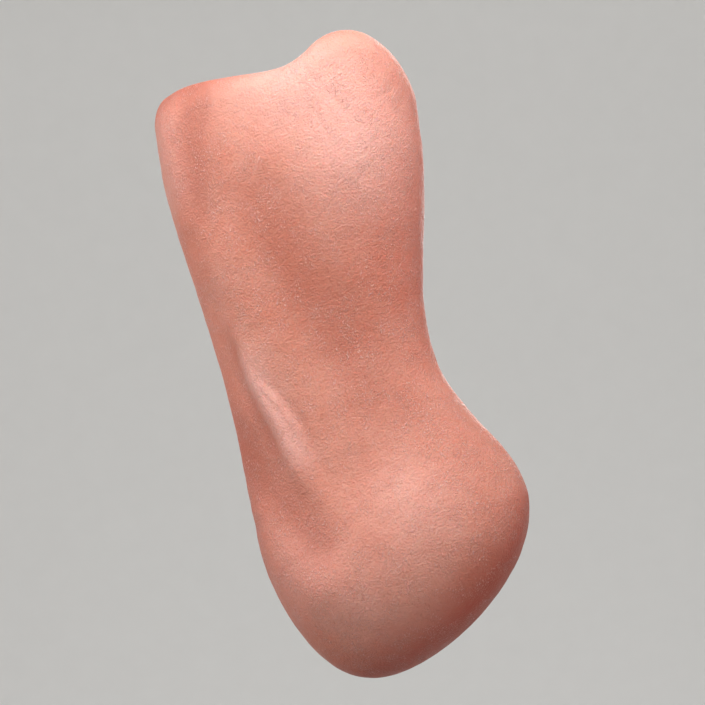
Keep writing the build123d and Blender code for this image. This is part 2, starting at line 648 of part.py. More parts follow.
with BuildPart() as pivot_bolt:
    with BuildSketch(Plane.YZ.offset(bolt_end_x)):
        with Locations((0, PIVOT_Z)):
            Circle(PIVOT_D / 2)
    extrude(amount=head_x - bolt_end_x)
    chamfer(pivot_bolt.edges().group_by(Axis.X)[0], PIVOT_END_SPARE)
    with BuildSketch(Plane.YZ.offset(head_x)):
        with Locations((0, PIVOT_Z)):
            Circle(PIVOT_HEAD_D / 2)
    extrude(amount=PIVOT_HEAD_T)
    fillet(pivot_bolt.edges().group_by(Axis.X)[-1], PIVOT_HEAD_ROUND)
    with BuildSketch(Plane.YZ.offset(head_x + PIVOT_HEAD_T)):
        with Locations((0, PIVOT_Z)):
            RegularPolygon(radius=PIVOT_SOCKET_AF / 2, side_count=6, major_radius=False)
    extrude(amount=-PIVOT_SOCKET_DEPTH, mode=Mode.SUBTRACT)
write(pivot_bolt, "pivot_bolt")

with BuildPart() as friction_discs:
    for x_start in (TONGUE_T / 2 + RUN, -TONGUE_T / 2 - RUN - DISC_T):
        add(pivot_ring(DISC_D, PIVOT_D + 2 * SEAT, x_start, DISC_T))
write(friction_discs, "friction_discs")

with BuildPart() as disc_springs:
    for index in range(SPRING_COUNT):
        # the cones stand face to face, so the springs work in series
        near_x = -head_x - index * spring_h
        rim_x, bore_x = (near_x, near_x - SPRING_CONE) if index % 2 else (near_x - SPRING_CONE, near_x)
        with BuildSketch(Plane.XZ):
            with BuildLine():
                Polyline(
                    (bore_x, PIVOT_Z + PIVOT_D / 2 + SEAT),
                    (rim_x, PIVOT_Z + SPRING_D / 2),
                    (rim_x - SPRING_T, PIVOT_Z + SPRING_D / 2),
                    (bore_x - SPRING_T, PIVOT_Z + PIVOT_D / 2 + SEAT),
                    close=True,
                )
            make_face()
        revolve(axis=pivot_axis)
write(disc_springs, "disc_springs")

with BuildPart() as plain_washer:
    add(pivot_ring(PLAIN_WASHER_D, PIVOT_D + 2 * SEAT, washer_x - PLAIN_WASHER_T, PLAIN_WASHER_T))
write(plain_washer, "plain_washer")

with BuildPart() as lock_nut:
    with BuildSketch(Plane.YZ.offset(nut_x)):
        with Locations((0, PIVOT_Z)):
            RegularPolygon(radius=NUT_AF / 2, side_count=6, major_radius=False)
    extrude(amount=-NUT_T)
    with BuildSketch(Plane.YZ.offset(nut_end_x)):
        with Locations((0, PIVOT_Z)):
            Circle(NUT_COLLAR_D / 2)
    extrude(amount=NUT_COLLAR_T)
    with BuildSketch(Plane.YZ.offset(nut_end_x)):
        with Locations((0, PIVOT_Z)):
            Circle(PIVOT_D / 2 + RUN)
    extrude(amount=NUT_T + NUT_COLLAR_T, mode=Mode.SUBTRACT)
write(lock_nut, "lock_nut")

with BuildPart() as wrist_skin:
    add(outer_form)
    add(cover_inside, mode=Mode.SUBTRACT)
    split(bisect_by=Plane.XY.offset(COVER_SPLIT_TOP - SPLIT / 2), keep=Keep.BOTTOM)
    split(bisect_by=Plane.XY.offset(COVER_SPLIT_BOTTOM + SPLIT / 2), keep=Keep.TOP)
write(wrist_skin, "wrist_skin")

# ================================================================ hand: hinge tongue
with BuildPart() as hinge_tongue:
    with BuildSketch(Plane.YZ):
        with Locations((0, PIVOT_Z)):
            Circle(BARREL_R)
        with Locations((0, FLANGE_TOP)):
            Rectangle(2 * TONGUE_WEB_HALF_WIDTH, STOP_PLANE, align=(Align.CENTER, Align.MIN))
    extrude(amount=TONGUE_T / 2, both=True)
    with BuildSketch(Plane.XY.offset(FLANGE_BOTTOM)):
        RectangleRounded(TONGUE_FLANGE_X, TONGUE_FLANGE_Y, TONGUE_FLANGE_CORNER)
    extrude(amount=TONGUE_FLANGE_T)
    web_edges = hinge_tongue.edges().filter_by(Axis.X).filter_by_position(Axis.Z, FLANGE_TOP, FLANGE_TOP)
    fillet(web_edges.sort_by(Axis.Y)[1:3], TONGUE_WEB_ROUND)
    with BuildSketch(Plane.YZ):
        with Locations((0, PIVOT_Z)):
            Circle(BUSH_D / 2 + RUN)
    extrude(amount=TONGUE_T, both=True, mode=Mode.SUBTRACT)
    with Locations(*[(x, y, FLANGE_TOP) for x, y in tongue_screw_places]):
        CounterSinkHole(
            radius=TONGUE_SCREW_D / 2,
            counter_sink_radius=TONGUE_SCREW_HEAD_D / 2 + SEAT,
            depth=TONGUE_FLANGE_T,
            counter_sink_angle=90,
        )
write(hinge_tongue, "hinge_tongue")

with BuildPart() as hinge_bush:
    add(pivot_ring(BUSH_D, PIVOT_D + 2 * RUN, -TONGUE_T / 2, TONGUE_T))
write(hinge_bush, "hinge_bush")

tongue_screw_length = TONGUE_FLANGE_T + FRAME_PLATE_T - SEAT

with BuildPart() as tongue_screws:
    with Locations(*[(x, y, FLANGE_TOP - SEAT / 2) for x, y in tongue_screw_places]):
        add(countersunk_screw(TONGUE_SCREW_D, TONGUE_SCREW_HEAD_D, tongue_screw_length, -1))
write(tongue_screws, "tongue_screws")

# ================================================================ hand: palm frame, foam and cover
with BuildSketch(Plane.XZ) as frame_pockets:
    add(frame_sketch(FRAME_RIM_T))
    for below in FRAME_RIBS_BELOW:
        with Locations((0, PIVOT_Z - below)):
            Rectangle(CUT_SPAN, FRAME_RIB_T, mode=Mode.SUBTRACT)

with BuildPart() as palm_frame:
    with BuildSketch(Plane.XZ):
        add(frame_sketch(0))
    extrude(amount=FRAME_RIM_Y / 2, both=True)
    for side in (-1, 1):
        with BuildSketch(Plane.XZ.offset(side * FRAME_WEB_T / 2)):
            add(frame_pockets.sketch_local)
        extrude(amount=side * FRAME_RIM_Y, mode=Mode.SUBTRACT)
    with BuildSketch(Plane.XZ):
        for above, places in FRAME_HOLES:
            with Locations(*[(x, PIVOT_Z + above) for x in places]):
                Circle(FRAME_HOLE_D / 2)
    extrude(amount=FRAME_WEB_T, both=True, mode=Mode.SUBTRACT)
    with BuildSketch(Plane.XY.offset(FRAME_TOP)):
        RectangleRounded(TONGUE_FLANGE_X, TONGUE_FLANGE_Y, TONGUE_FLANGE_CORNER)
        with Locations(*tongue_screw_places):
            Circle(TONGUE_SCREW_D / 2 + INSERT_WALL + SEAT, mode=Mode.SUBTRACT)
    extrude(amount=-FRAME_PLATE_T)
write(palm_frame, "palm_frame")

with BuildPart() as frame_inserts:
    with Locations(*[(x, y, FRAME_TOP - FRAME_PLATE_T / 2) for x, y in tongue_screw_places]):
        add(threaded_insert(TONGUE_SCREW_D, FRAME_PLATE_T - 2 * SEAT))
write(frame_inserts, "frame_inserts")

with BuildPart() as palm_foam:
    add(shell_outside)
    split(bisect_by=Plane.XY.offset(FOAM_TOP), keep=Keep.BOTTOM)
    with BuildSketch(Plane.XY.offset(FRAME_TOP)):
        RectangleRounded(TONGUE_FLANGE_X, TONGUE_FLANGE_Y, TONGUE_FLANGE_CORNER)
    extrude(amount=-FRAME_PLATE_T, mode=Mode.SUBTRACT)
    add(palm_frame.part, mode=Mode.SUBTRACT)
write(palm_foam, "palm_foam")

with BuildPart() as mitt_skin:
    add(outer_form)
    add(cover_inside, mode=Mode.SUBTRACT)
    split(bisect_by=Plane.XY.offset(COVER_SPLIT_BOTTOM - SPLIT / 2), keep=Keep.BOTTOM)
write(mitt_skin, "mitt_skin")
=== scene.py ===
import json
import math

import bpy
import numpy as np
from mathutils import Matrix


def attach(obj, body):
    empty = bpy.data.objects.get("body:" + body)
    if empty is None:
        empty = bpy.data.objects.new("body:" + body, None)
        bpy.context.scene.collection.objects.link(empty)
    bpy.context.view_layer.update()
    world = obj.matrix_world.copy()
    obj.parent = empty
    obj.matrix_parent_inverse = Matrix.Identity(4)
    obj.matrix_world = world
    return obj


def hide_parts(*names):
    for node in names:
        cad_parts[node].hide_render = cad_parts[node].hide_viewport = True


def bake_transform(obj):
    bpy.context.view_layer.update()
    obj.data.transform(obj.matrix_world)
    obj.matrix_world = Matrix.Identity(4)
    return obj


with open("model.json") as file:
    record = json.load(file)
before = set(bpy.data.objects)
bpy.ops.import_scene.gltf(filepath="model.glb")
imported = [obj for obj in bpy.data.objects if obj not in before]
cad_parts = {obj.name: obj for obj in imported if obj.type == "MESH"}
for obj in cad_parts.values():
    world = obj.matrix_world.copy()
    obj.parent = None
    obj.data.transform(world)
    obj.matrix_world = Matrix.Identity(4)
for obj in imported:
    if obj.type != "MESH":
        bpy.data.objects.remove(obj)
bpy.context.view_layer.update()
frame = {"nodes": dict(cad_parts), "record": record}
nodes = frame["nodes"]
MM = 0.001

# ---------------------------------------------------------------- form of the cover, in millimetres
# height, centre in X, half width, half thickness to the back
STATIONS = (
    (75, -1.8, 40.3, 33.6),
    (40, -1.6, 40.6, 34.2),
    (26, -1.4, 40.4, 34.0),
    (10, -1.1, 38.5, 32.0),
    (-6, -0.8, 35.8, 28.9),
    (-20, -0.4, 33.7, 26.4),
    (-34, 1.1, 32.9, 25.1),
    (-44, 3.0, 33.6, 25.6),
    (-56, 7.0, 36.4, 27.2),
    (-68, 11.6, 40.3, 28.8),
    (-76, 13.9, 42.0, 29.4),
    (-84, 15.1, 42.5, 29.6),
)
# height and half thickness to the front, fullest low on the hand
FRONT_STATIONS = (
    (75, 30.4),
    (40, 34.0),
    (26, 34.2),
    (10, 32.5),
    (-6, 29.8),
    (-20, 27.4),
    (-34, 25.9),
    (-44, 25.5),
    (-56, 26.2),
    (-68, 28.1),
    (-78, 30.3),
    (-87, 32.0),
    (-95, 32.7),
)


def levelled(stations):
    """Stations with the last but one repeated as far below the last, so that the sides are upright there."""
    return (*stations, (2 * stations[-1][0] - stations[-2][0], *stations[-2][1:]))


LAST = STATIONS[-1][0]
FRONT_LAST = FRONT_STATIONS[-1][0]
TIP_DROP = 49.6  # rounded lower end, below the last station
TIP_CENTRE_X = 5.0
TIP_LEAN = 2.2  # power with which the end's middle moves over
TIP_FULLNESS = 0.68  # 0 gives an elliptical end, more a pointed one
TIP_FRONT_FULL = 2.3  # power of the end's front profile: 2 is elliptical, more keeps it upright for longer
SQUARENESS = 2.16  # 2 gives elliptical sections, more gives fuller corners
# top edge of the cuff, X and height: level on the left, with a hump over the thumb side
BRIM = (
    (-46, 50.6),
    (-42, 51.4),
    (-38, 53.0),
    (-33, 55.3),
    (-27, 56.7),
    (-16, 57.5),
    (-6, 57.8),
    (0, 58.5),
    (3.8, 60.0),
    (7, 62.0),
    (10.5, 64.8),
    (15, 66.7),
    (20.5, 67.0),
    (26, 65.0),
    (31, 60.6),
    (34, 56.7),
    (36.5, 52.6),
    (38.6, 49.4),
    (46, 45.0),
)
COVER_WALL = 2.2
CUFF_WALL = 6.4  # cover, shell and lining together
FRONT_DIP = 2.6  # the edge stands this much lower in the middle of the front
# top edge of the shell inside the cover
SHELL_EDGE = (
    (-60, 49.9),
    (-34, 50.7),
    (-12, 51.9),
    (1, 53.5),
    (9, 58.3),
    (18, 61.7),
    (27, 59.3),
    (36, 50.9),
    (46, 38.9),
)
SHELL_TO_ROUND = 0.3  # least height of the rim's inner round above the shell's edge
EDGE_LEVEL = 55.0  # the top edges are read at the form's width here
RIM_OUTER = 4.6  # width and height of the rim's outer round
RIM_OUTER_H = 7.5
RIM_INNER_H = 1.8
SEAM_Z = -20.0  # the cover's two pieces meet here, inside the turning wrist

# rings and columns of the cover and the lining
COLUMNS = 448
FRONT_DENSITY = 0.3  # 0 spaces the columns evenly, more draws them to the front
RIM_ROWS = 13
FOLD_ROWS = 8
CUFF_ROWS = 112
HAND_ROWS = 112
TIP_ROWS = 62
WALL_ROWS = 26
LIP_ROWS = 3
HAND_WALL_ROWS = 14
LINING_ROWS = 40


def through(x, knots):
    """Smooth curve through rows of (x, y).

    Cubic pieces join the knots, with the mean of the slopes on its two sides as the slope at each knot.
    """
    knots = np.array(knots, float)
    knots = knots[np.argsort(knots[:, 0])]
    xs, ys = knots[:, 0], knots[:, 1:]
    rise = np.diff(ys, axis=0) / np.diff(xs)[:, None]
    slope = np.vstack([rise[:1], (rise[1:] + rise[:-1]) / 2, rise[-1:]])
    x = np.clip(x, xs[0], xs[-1])
    i = np.clip(np.searchsorted(xs, x) - 1, 0, len(xs) - 2)
    step = xs[i + 1] - xs[i]
    t = ((x - xs[i]) / step)[..., None]
    step = step[..., None]
    return (
        (1 + 2 * t) * (1 - t) ** 2 * ys[i]
        + t * (1 - t) ** 2 * step * slope[i]
        + t**2 * (3 - 2 * t) * ys[i + 1]
        + t**2 * (t - 1) * step * slope[i + 1]
    )


def smooth_step(low, high, x):
    """0 below low, 1 above high, and the curve 3t^2 - 2t^3 between."""
    t = np.clip((x - low) / (high - low), 0, 1)
    return t * t * (3 - 2 * t)


def ring_angles():
    """Angles round the form, closer together at the front: 2 pi u less a share of its cosine."""
    turn = 2 * np.pi * np.arange(COLUMNS) / COLUMNS
    return turn - FRONT_DENSITY * np.cos(turn)


def form(height, angle, inset):
    """Point of the outer form moved in by inset, at a height and an angle round the axis.

    Each section is |x/w|^n + |y/d|^n = 1 about its centre, with w and d smooth through the stations.
    Below the last station w and the back's d shrink by sqrt(1 - s^2 (1 + f - f s)), where s is the share
    of the way down the rounded end, and the front's d by sqrt(1 - s^p) from its own last station.
    """
    height, angle, inset = np.broadcast_arrays(height, angle, inset)
    centre, wide, back = np.moveaxis(through(np.maximum(height, LAST), levelled(STATIONS)), -1, 0)
    front = through(np.maximum(height, FRONT_LAST), levelled(FRONT_STATIONS))[..., 0]
    end = LAST - TIP_DROP + inset
    share = np.clip((LAST - height) / (LAST - end), 0, 1)
    front_share = np.clip((FRONT_LAST - height) / (FRONT_LAST - end), 0, 1)
    full = np.sqrt(1 - share**2 * (1 + TIP_FULLNESS * (1 - share)))
    front_full = np.sqrt(1 - front_share**TIP_FRONT_FULL)
    centre = centre + (TIP_CENTRE_X - STATIONS[-1][1]) * share**TIP_LEAN
    deep = np.where(np.sin(angle) < 0, (front - inset) * front_full, (back - inset) * full)
    reach = (np.abs(np.cos(angle)) ** SQUARENESS + np.abs(np.sin(angle)) ** SQUARENESS) ** (-1 / SQUARENESS)
    return np.stack(
        [
            centre + (wide - inset) * full * reach * np.cos(angle),
            deep * reach * np.sin(angle),
            height,
        ],
        axis=-1,
    )


def edge_height(angle, inset, table):
    """Height of a top edge at an angle, from its table of X and height, at the X of the form moved in."""
    side = form(EDGE_LEVEL, angle, inset)[..., 0]
    return through(side, table)[..., 0]


def rim_height(angle, inset):
    """Height of the cuff's top edge, which dips towards the middle of the front."""
    return edge_height(angle, inset, BRIM) - FRONT_DIP * np.clip(-np.sin(angle), 0, 1)


def shell_height(angle, inset):
    """Height of the shell's top edge, always below the rim's rounds."""
    below_rim = rim_height(angle, inset) - RIM_INNER_H - SHELL_TO_ROUND
    return np.minimum(edge_height(angle, inset, SHELL_EDGE), below_rim)


def outward(points):
    """Unit normals of a grid of points that runs down the form and round it."""
    down = np.gradient(points, axis=0)
    across = np.roll(points, -1, axis=1) - np.roll(points, 1, axis=1)
    normal = np.cross(down, across)
    return normal / np.linalg.norm(normal, axis=-1, keepdims=True)


# ---------------------------------------------------------------- relief of the cover's front
EDGE_GROOVE = ((-26, 62), (-28.5, 51), (-31.5, 36), (-32, 20.5), (-30.5, 4))
LONG_HOLLOW = ((-14.5, 16), (-11.5, 8), (-7.5, -4), (-3, -11.5), (1.5, -19), (6, -28))
LOWER_HOLLOW = ((-33, -54), (-27, -62), (-20.5, -71), (-14.5, -80), (-9, -90))
TENDON = (
    (-28.5, -14),
    (-25, -24),
    (-22, -34),
    (-18.6, -44),
    (-15.4, -54),
    (-12.5, -63.5),
    (-9, -73),
    (-5, -84),
)
TENDON_FACE = ((-25, -24), (-21.6, -34), (-17.4, -43.6), (-13.5, -53), (-10.5, -62), (-8, -72))
TENDON_EDGE = ((-26, -22), (-19.6, -34.5), (-13.6, -44), (-9, -52.5), (-6.2, -61), (-3.5, -70), (0, -80))
TENDON_FOLD = ((-30, -16), (-27.6, -24), (-25.8, -33), (-23.2, -43), (-19.8, -53), (-17, -61.5), (-14, -70))
# height, width, and a path of (X, Z) points: ridges stand up, grooves and hollows go in
RELIEF = (
    (-1.7, 3.8, EDGE_GROOVE),
    (1.2, 3.4, ((-38, 54), (-38.5, 36), (-37, 18), (-34, 2))),  # roll along the left edge
    (1.5, 13.0, ((4, 52), (12, 42), (12, 28))),  # broad crown of the cuff
    (-0.7, 6.0, ((-14, 54), (-18, 40), (-20, 26))),  # shallow dip left of the crown
    (-2.1, 7.0, LONG_HOLLOW),
    (1.0, 6.4, ((-24, -3), (-20, -14), (-13, -29), (-5, -45), (3, -58))),  # broad ridge
    (-1.0, 3.0, ((-35, 2), (-32.5, -13), (-30, -27), (-28, -38), (-25.5, -48))),  # valley left of the ridge
    (1.4, 3.0, TENDON),
    (0.55, 3.4, TENDON_FACE),
    (-0.65, 1.4, TENDON_EDGE),
    (0.3, 0.6, ((-25, -25), (-20.4, -36.2), (-14.4, -45.9), (-9.9, -54), (-7.3, -62), (-5, -70))),
    (-0.2, 0.5, ((-24, -28), (-18.9, -38.5), (-14.2, -48.5), (-10.8, -57), (-8.6, -67))),
    (-0.2, 0.5, ((-23, -32), (-17.6, -43), (-13.4, -53), (-11, -63))),
    (-1.1, 1.9, TENDON_FOLD),
    (-2.6, 5.0, LOWER_HOLLOW),
    (1.0, 6.0, ((-25, -78), (-20, -92), (-10, -104))),  # swell below it
    (-0.5, 5.0, ((27, 20), (29, 8), (28, -4))),
    (-1.1, 9.0, ((24, -40), (20, -54), (16, -66))),
    (2.0, 12.0, ((24, -88), (8, -101), (-6, -103))),  # fullness low on the hand
    (-0.25, 0.8, ((3, 58), (8, 51), (14, 43), (19, 37))),
    (-0.25, 0.8, ((4.5, 46), (7.5, 40), (11, 32))),
    (-0.25, 0.8, ((17, 63.5), (24, 62.6), (30, 60), (36, 54))),
    (-0.16, 0.9, ((21, -38), (16, -48), (10, -58))),
    (-0.16, 0.8, ((-10, 34), (-14, 26), (-20, 17))),
    (-0.16, 0.8, ((15, -14), (11.5, -24), (9, -36))),
)
# the back is plainer: two soft tendons and the wrist's crossing folds
BACK_RELIEF = (
    (0.9, 5.5, ((-16, 34), (-12, -5), (-4, -40), (4, -78))),
    (-0.7, 6.0, ((-4, 26), (2, -10), (9, -42), (16, -76))),
    (0.8, 6.0, ((10, 30), (16, -8), (24, -42), (34, -76))),
    (-0.4, 1.5, ((-30, -29), (-10, -33), (10, -32), (31, -27))),
    (-0.3, 1.5, ((-28, -38), (-6, -41), (12, -40), (31, -36))),
)
TAPERED = 5.0  # features narrower than this fade out at their ends
TAPER = 0.3  # share of its length over which such a feature fades
RIPPLE_COUNT = 14
RIPPLE = 0.014
RIPPLE_LENGTHS = (4.0, 14.0)
DEEPEST = -1.75  # hollows level off towards this, inside the cover's wall
RELIEF_ROWS = 6  # the relief rises over this many rings below the rim's crest


def path_points(path, count=20):
    """Points along a smooth curve through the path's corners, the corners evenly spaced in its parameter."""
    corners = np.array(path, float)
    steps = np.arange(len(corners))[:, None]
    return through(np.linspace(0, len(corners) - 1, count), np.hstack([steps, corners]))


def near_path(flat, path):
    """Distance from each point to the path's nearest run, in the X-Z plane, and how far along that lies."""
    line = path_points(path)
    nearest = np.full(flat.shape[:-1], np.inf)
    along = np.zeros(flat.shape[:-1])
    for number, (start, end) in enumerate(zip(line[:-1], line[1:])):
        run = end - start
        share = np.clip(((flat - start) @ run) / (run @ run), 0, 1)
        gap = np.linalg.norm(flat - start - share[..., None] * run, axis=-1)
        closer = gap < nearest
        nearest = np.where(closer, gap, nearest)
        along = np.where(closer, (number + share) / (len(line) - 1), along)
    return nearest, along


def raised(flat, features):
    """Sum of bell curves height * exp(-d^2 / 2 width^2) of the distance d from each feature's path."""
    total = np.zeros(flat.shape[:-1])
    for height, width, path in features:
        gap, along = near_path(flat, path)
        bell = height * np.exp(-((gap / width) ** 2) / 2)
        if width < TAPERED:
            bell = bell * smooth_step(0, TAPER, along) * smooth_step(0, TAPER, 1 - along)
        total += bell
    return total


def ripples(points):
    """Faint unevenness: a sum of sine waves of random direction and phase."""
    rng = np.random.default_rng(7)
    total = np.zeros(points.shape[:-1])
    for _ in range(RIPPLE_COUNT):
        direction = rng.normal(size=3)
        direction /= np.linalg.norm(direction)
        length = rng.uniform(*RIPPLE_LENGTHS)
        total += np.sin(points @ direction * 2 * np.pi / length + rng.uniform(0, 2 * np.pi))
    return total * RIPPLE


def relief(points, normal):
    """Height of the cover's surface above the plain form: the front's features, the back's and the ripples.

    A depth d levels off as D tanh(d / D), with D the greatest depth.
    """
    flat = points[..., [0, 2]]
    front = smooth_step(-0.05, 0.55, -normal[..., 1])
    back = smooth_step(0.1, 0.6, normal[..., 1])
    height = front * raised(flat, RELIEF) + back * raised(flat, BACK_RELIEF) + ripples(points)
    return np.where(height < 0, DEEPEST * np.tanh(height / DEEPEST), height)


# ---------------------------------------------------------------- meshes
def add_piece(name, rings, attributes=None, poles=(None, None), looped=False, sharp=()):
    """Mesh from rings of points (ring, column, xyz) in millimetres, each ring closed, joined ring to ring.

    A looped mesh joins its last ring to its first.  A pole is a point that closes one end with triangles.
    The rings numbered in sharp are hard edges.
    """
    count, columns = rings.shape[:2]
    points = rings.reshape(-1, 3)
    index = np.arange(count * columns).reshape(count, columns)
    beyond = np.roll(index, -1, axis=1)
    if looped:
        lower, lower_beyond = np.roll(index, -1, axis=0), np.roll(beyond, -1, axis=0)
        quads = np.stack([index, lower, lower_beyond, beyond], axis=-1).reshape(-1, 4)
    else:
        quads = np.stack([index[:-1], index[1:], beyond[1:], beyond[:-1]], axis=-1).reshape(-1, 4)
    loops = [quads.reshape(-1)]
    sizes = [np.full(len(quads), 4)]
    for end, pole in enumerate(poles):
        if pole is None:
            continue
        points = np.vstack([points, pole])
        ring = index[-end], beyond[-end]
        hub = np.full(columns, len(points) - 1)
        fan = np.stack([hub, ring[0], ring[1]] if end == 0 else [ring[0], hub, ring[1]], axis=-1)
        loops.append(fan.reshape(-1))
        sizes.append(np.full(columns, 3))
    loops, sizes = np.concatenate(loops), np.concatenate(sizes)
    mesh = bpy.data.meshes.new(name)
    mesh.vertices.add(len(points))
    mesh.vertices.foreach_set("co", (points * MM).astype(np.float32).ravel())
    mesh.loops.add(len(loops))
    mesh.loops.foreach_set("vertex_index", loops.astype(np.int32))
    mesh.polygons.add(len(sizes))
    mesh.polygons.foreach_set("loop_start", np.concatenate([[0], np.cumsum(sizes)[:-1]]).astype(np.int32))
    mesh.polygons.foreach_set("use_smooth", np.ones(len(sizes), bool))
    for key, values in (attributes or {}).items():
        field = mesh.attributes.new(key, "FLOAT", "POINT")
        spare = np.zeros(len(points) - values.size)
        field.data.foreach_set("value", np.concatenate([values.ravel(), spare]).astype(np.float32))
    mesh.update(calc_edges=True)
    if len(sharp):
        ends = np.zeros(2 * len(mesh.edges), np.int32)
        mesh.edges.foreach_get("vertices", ends)
        ring_of = ends.reshape(-1, 2) // columns
        hard = (ring_of[:, 0] == ring_of[:, 1]) & np.isin(ring_of[:, 0], sharp)
        mesh.attributes.new("sharp_edge", "BOOLEAN", "EDGE").data.foreach_set("value", hard)
    piece = bpy.data.objects.new(name, mesh)
    bpy.context.scene.collection.objects.link(piece)
    return piece


# ---------------------------------------------------------------- cover
def level(heights):
    """Rings of one height each: a column of heights repeated at every angle."""
    return np.broadcast_to(heights, (len(heights), COLUMNS))


def tip_shares(count):
    """Shares of the way down the rounded end, closer together towards its pole: 1 - (1 - u)^2."""
    return 1 - (1 - np.linspace(0, 1, count)[1:-1, None]) ** 2


angles = ring_angles()
arc = np.linspace(0.5, 0, RIM_ROWS)[:, None] * np.pi  # from the rim's crest out to the wall
rim_insets = RIM_OUTER * (1 - np.cos(arc))
rim_heights = rim_height(angles, rim_insets) - RIM_OUTER_H * (1 - np.sin(arc))
cuff_share = np.linspace(0, 1, CUFF_ROWS)[1:, None]
cuff_heights = rim_heights[-1] * (1 - cuff_share) + SEAM_Z * cuff_share
hand_heights = level(np.linspace(SEAM_Z, LAST, HAND_ROWS)[1:, None])
tip_heights = level(LAST - TIP_DROP * tip_shares(TIP_ROWS + 1))
heights = np.vstack([rim_heights, cuff_heights, hand_heights, tip_heights])
insets = np.vstack([rim_insets, np.zeros((len(heights) - RIM_ROWS, 1))])
plain = form(heights, angles, insets)
normal = outward(plain)
relief_share = smooth_step(0, RELIEF_ROWS, np.arange(len(heights)))[:, None]
raise_by = relief(plain, normal) * relief_share
outside = plain + raise_by[..., None] * normal
seam_row = RIM_ROWS + CUFF_ROWS - 2

wall_share = np.linspace(0, 1, WALL_ROWS)[:, None]
wall_heights = SEAM_Z * (1 - wall_share) + shell_height(angles, COVER_WALL) * wall_share
cuff_inside = form(wall_heights, angles, COVER_WALL)
lip_bottom = shell_height(angles, CUFF_WALL)
lip_top = rim_height(angles, CUFF_WALL) - RIM_INNER_H
lip = form(lip_bottom + (lip_top - lip_bottom) * np.linspace(0, 1, LIP_ROWS)[:, None], angles, CUFF_WALL)
fold = np.linspace(0.5, 0, FOLD_ROWS)[1:-1, None] * np.pi  # from the lip up to the rim's crest
fold_insets = RIM_OUTER + (CUFF_WALL - RIM_OUTER) * np.sin(fold)
rolled = form(rim_height(angles, fold_insets) - RIM_INNER_H * (1 - np.cos(fold)), angles, fold_insets)
cuff_rings = [outside[: seam_row + 1], cuff_inside, lip, rolled]

tip_inside = form(LAST - (TIP_DROP - COVER_WALL) * tip_shares(HAND_WALL_ROWS), angles, COVER_WALL)
hand_inside = form(np.linspace(SEAM_Z, LAST, HAND_WALL_ROWS)[:, None], angles, COVER_WALL)
hand_rings = [tip_inside[::-1], hand_inside[::-1], outside[seam_row:]]
tip_bottom = LAST - TIP_DROP
inner_pole = (TIP_CENTRE_X, 0, tip_bottom + COVER_WALL)
outer_pole = (TIP_CENTRE_X, 0, tip_bottom)

# strength, width and path of the tints: painted shade, browner, in the hollows, grooves and darker patches,
# and painted highlights, paler, on what stands up
PAINTED_SHADES = (
    (0.9, 3.0, EDGE_GROOVE),
    (0.7, 2.5, ((-24, 78), (-25.5, 62), (-27.5, 50), (-29, 38))),
    (0.3, 7.0, ((-24, 60), (-27, 42), (-28, 24))),
    (0.75, 7.0, LONG_HOLLOW),
    (0.65, 9.0, ((13, -45), (22, -50), (33, -55), (42, -66))),
    (1.0, 5.4, LOWER_HOLLOW),
    (0.9, 1.7, TENDON_FOLD),
)
# painted highlights: the tendon's lit face, the crown, spots on the bulge and low on the hand, and a light
# strip along the left edge
PAINTED_HIGHLIGHTS = (
    (0.9, 2.8, TENDON_FACE),
    (1.0, 13.0, ((2, 50), (12, 45), (17, 32))),
    (0.4, 11.0, ((20, -78), (24, -84))),
    (0.35, 9.0, ((-12, -100), (5, -105))),
    (0.35, 3.5, ((-38, 54), (-39, 34), (-37, 14))),
)
# painted shade, a darker red, on what faces sideways, down, up and left at the rim, and down and right at the
# bulge
SIDE_PAINTED_SHADE = 0.45
SIDE_PAINTED_SHADE_LESS = 0.3  # less on the forearm part, above the wrist
WRIST_RANGE = (-60, -30)
LOW_PAINTED_SHADE = 0.55
RIM_PAINTED_SHADE = 0.6
RIM_WAY = (-0.6, 0, 0.8)
BULGE_WAY = (0.64, 0, -0.77)


def facing(way, power):
    """How squarely the cover faces a way: the cosine of the angle between, no less than 0, to a power."""
    return np.clip(normal @ np.array(way), 0, 1) ** power


flat_place = plain[..., [0, 2]]
facing_front = smooth_step(0, 0.5, -normal[..., 1])
side_painted_shade = SIDE_PAINTED_SHADE - SIDE_PAINTED_SHADE_LESS * smooth_step(*WRIST_RANGE, heights)
# painted shade: the cover is coloured darker and redder by which way it faces
painted_facing_shade = (
    np.abs(normal[..., 0]) ** 3 * side_painted_shade
    + LOW_PAINTED_SHADE * facing((0, 0, -1), 2)
    + RIM_PAINTED_SHADE * facing(RIM_WAY, 2)
    + facing(BULGE_WAY, 1.5)
)
# fields of the skin's colour: painted shade by facing, painted shade in the hollows, and painted highlights
FIELDS = {
    "painted_facing_shade": np.clip(painted_facing_shade, 0, 1),
    "painted_shade": np.clip(raised(flat_place, PAINTED_SHADES) * facing_front, 0, 1),
    "painted_highlight": np.clip(raised(flat_place, PAINTED_HIGHLIGHTS) * facing_front, 0, 1),
}


def with_inside(field, first, last, before, after, rolled_rings=0):
    """Field of the outside rows first to last, with zeros inside that rise to the rim over its round."""
    rise = np.clip((np.arange(after) - after + rolled_rings + 1) / (rolled_rings + 1), 0, 1)
    return np.vstack([np.zeros((before, COLUMNS)), field[first:last], field[:1] * rise[:, None]])


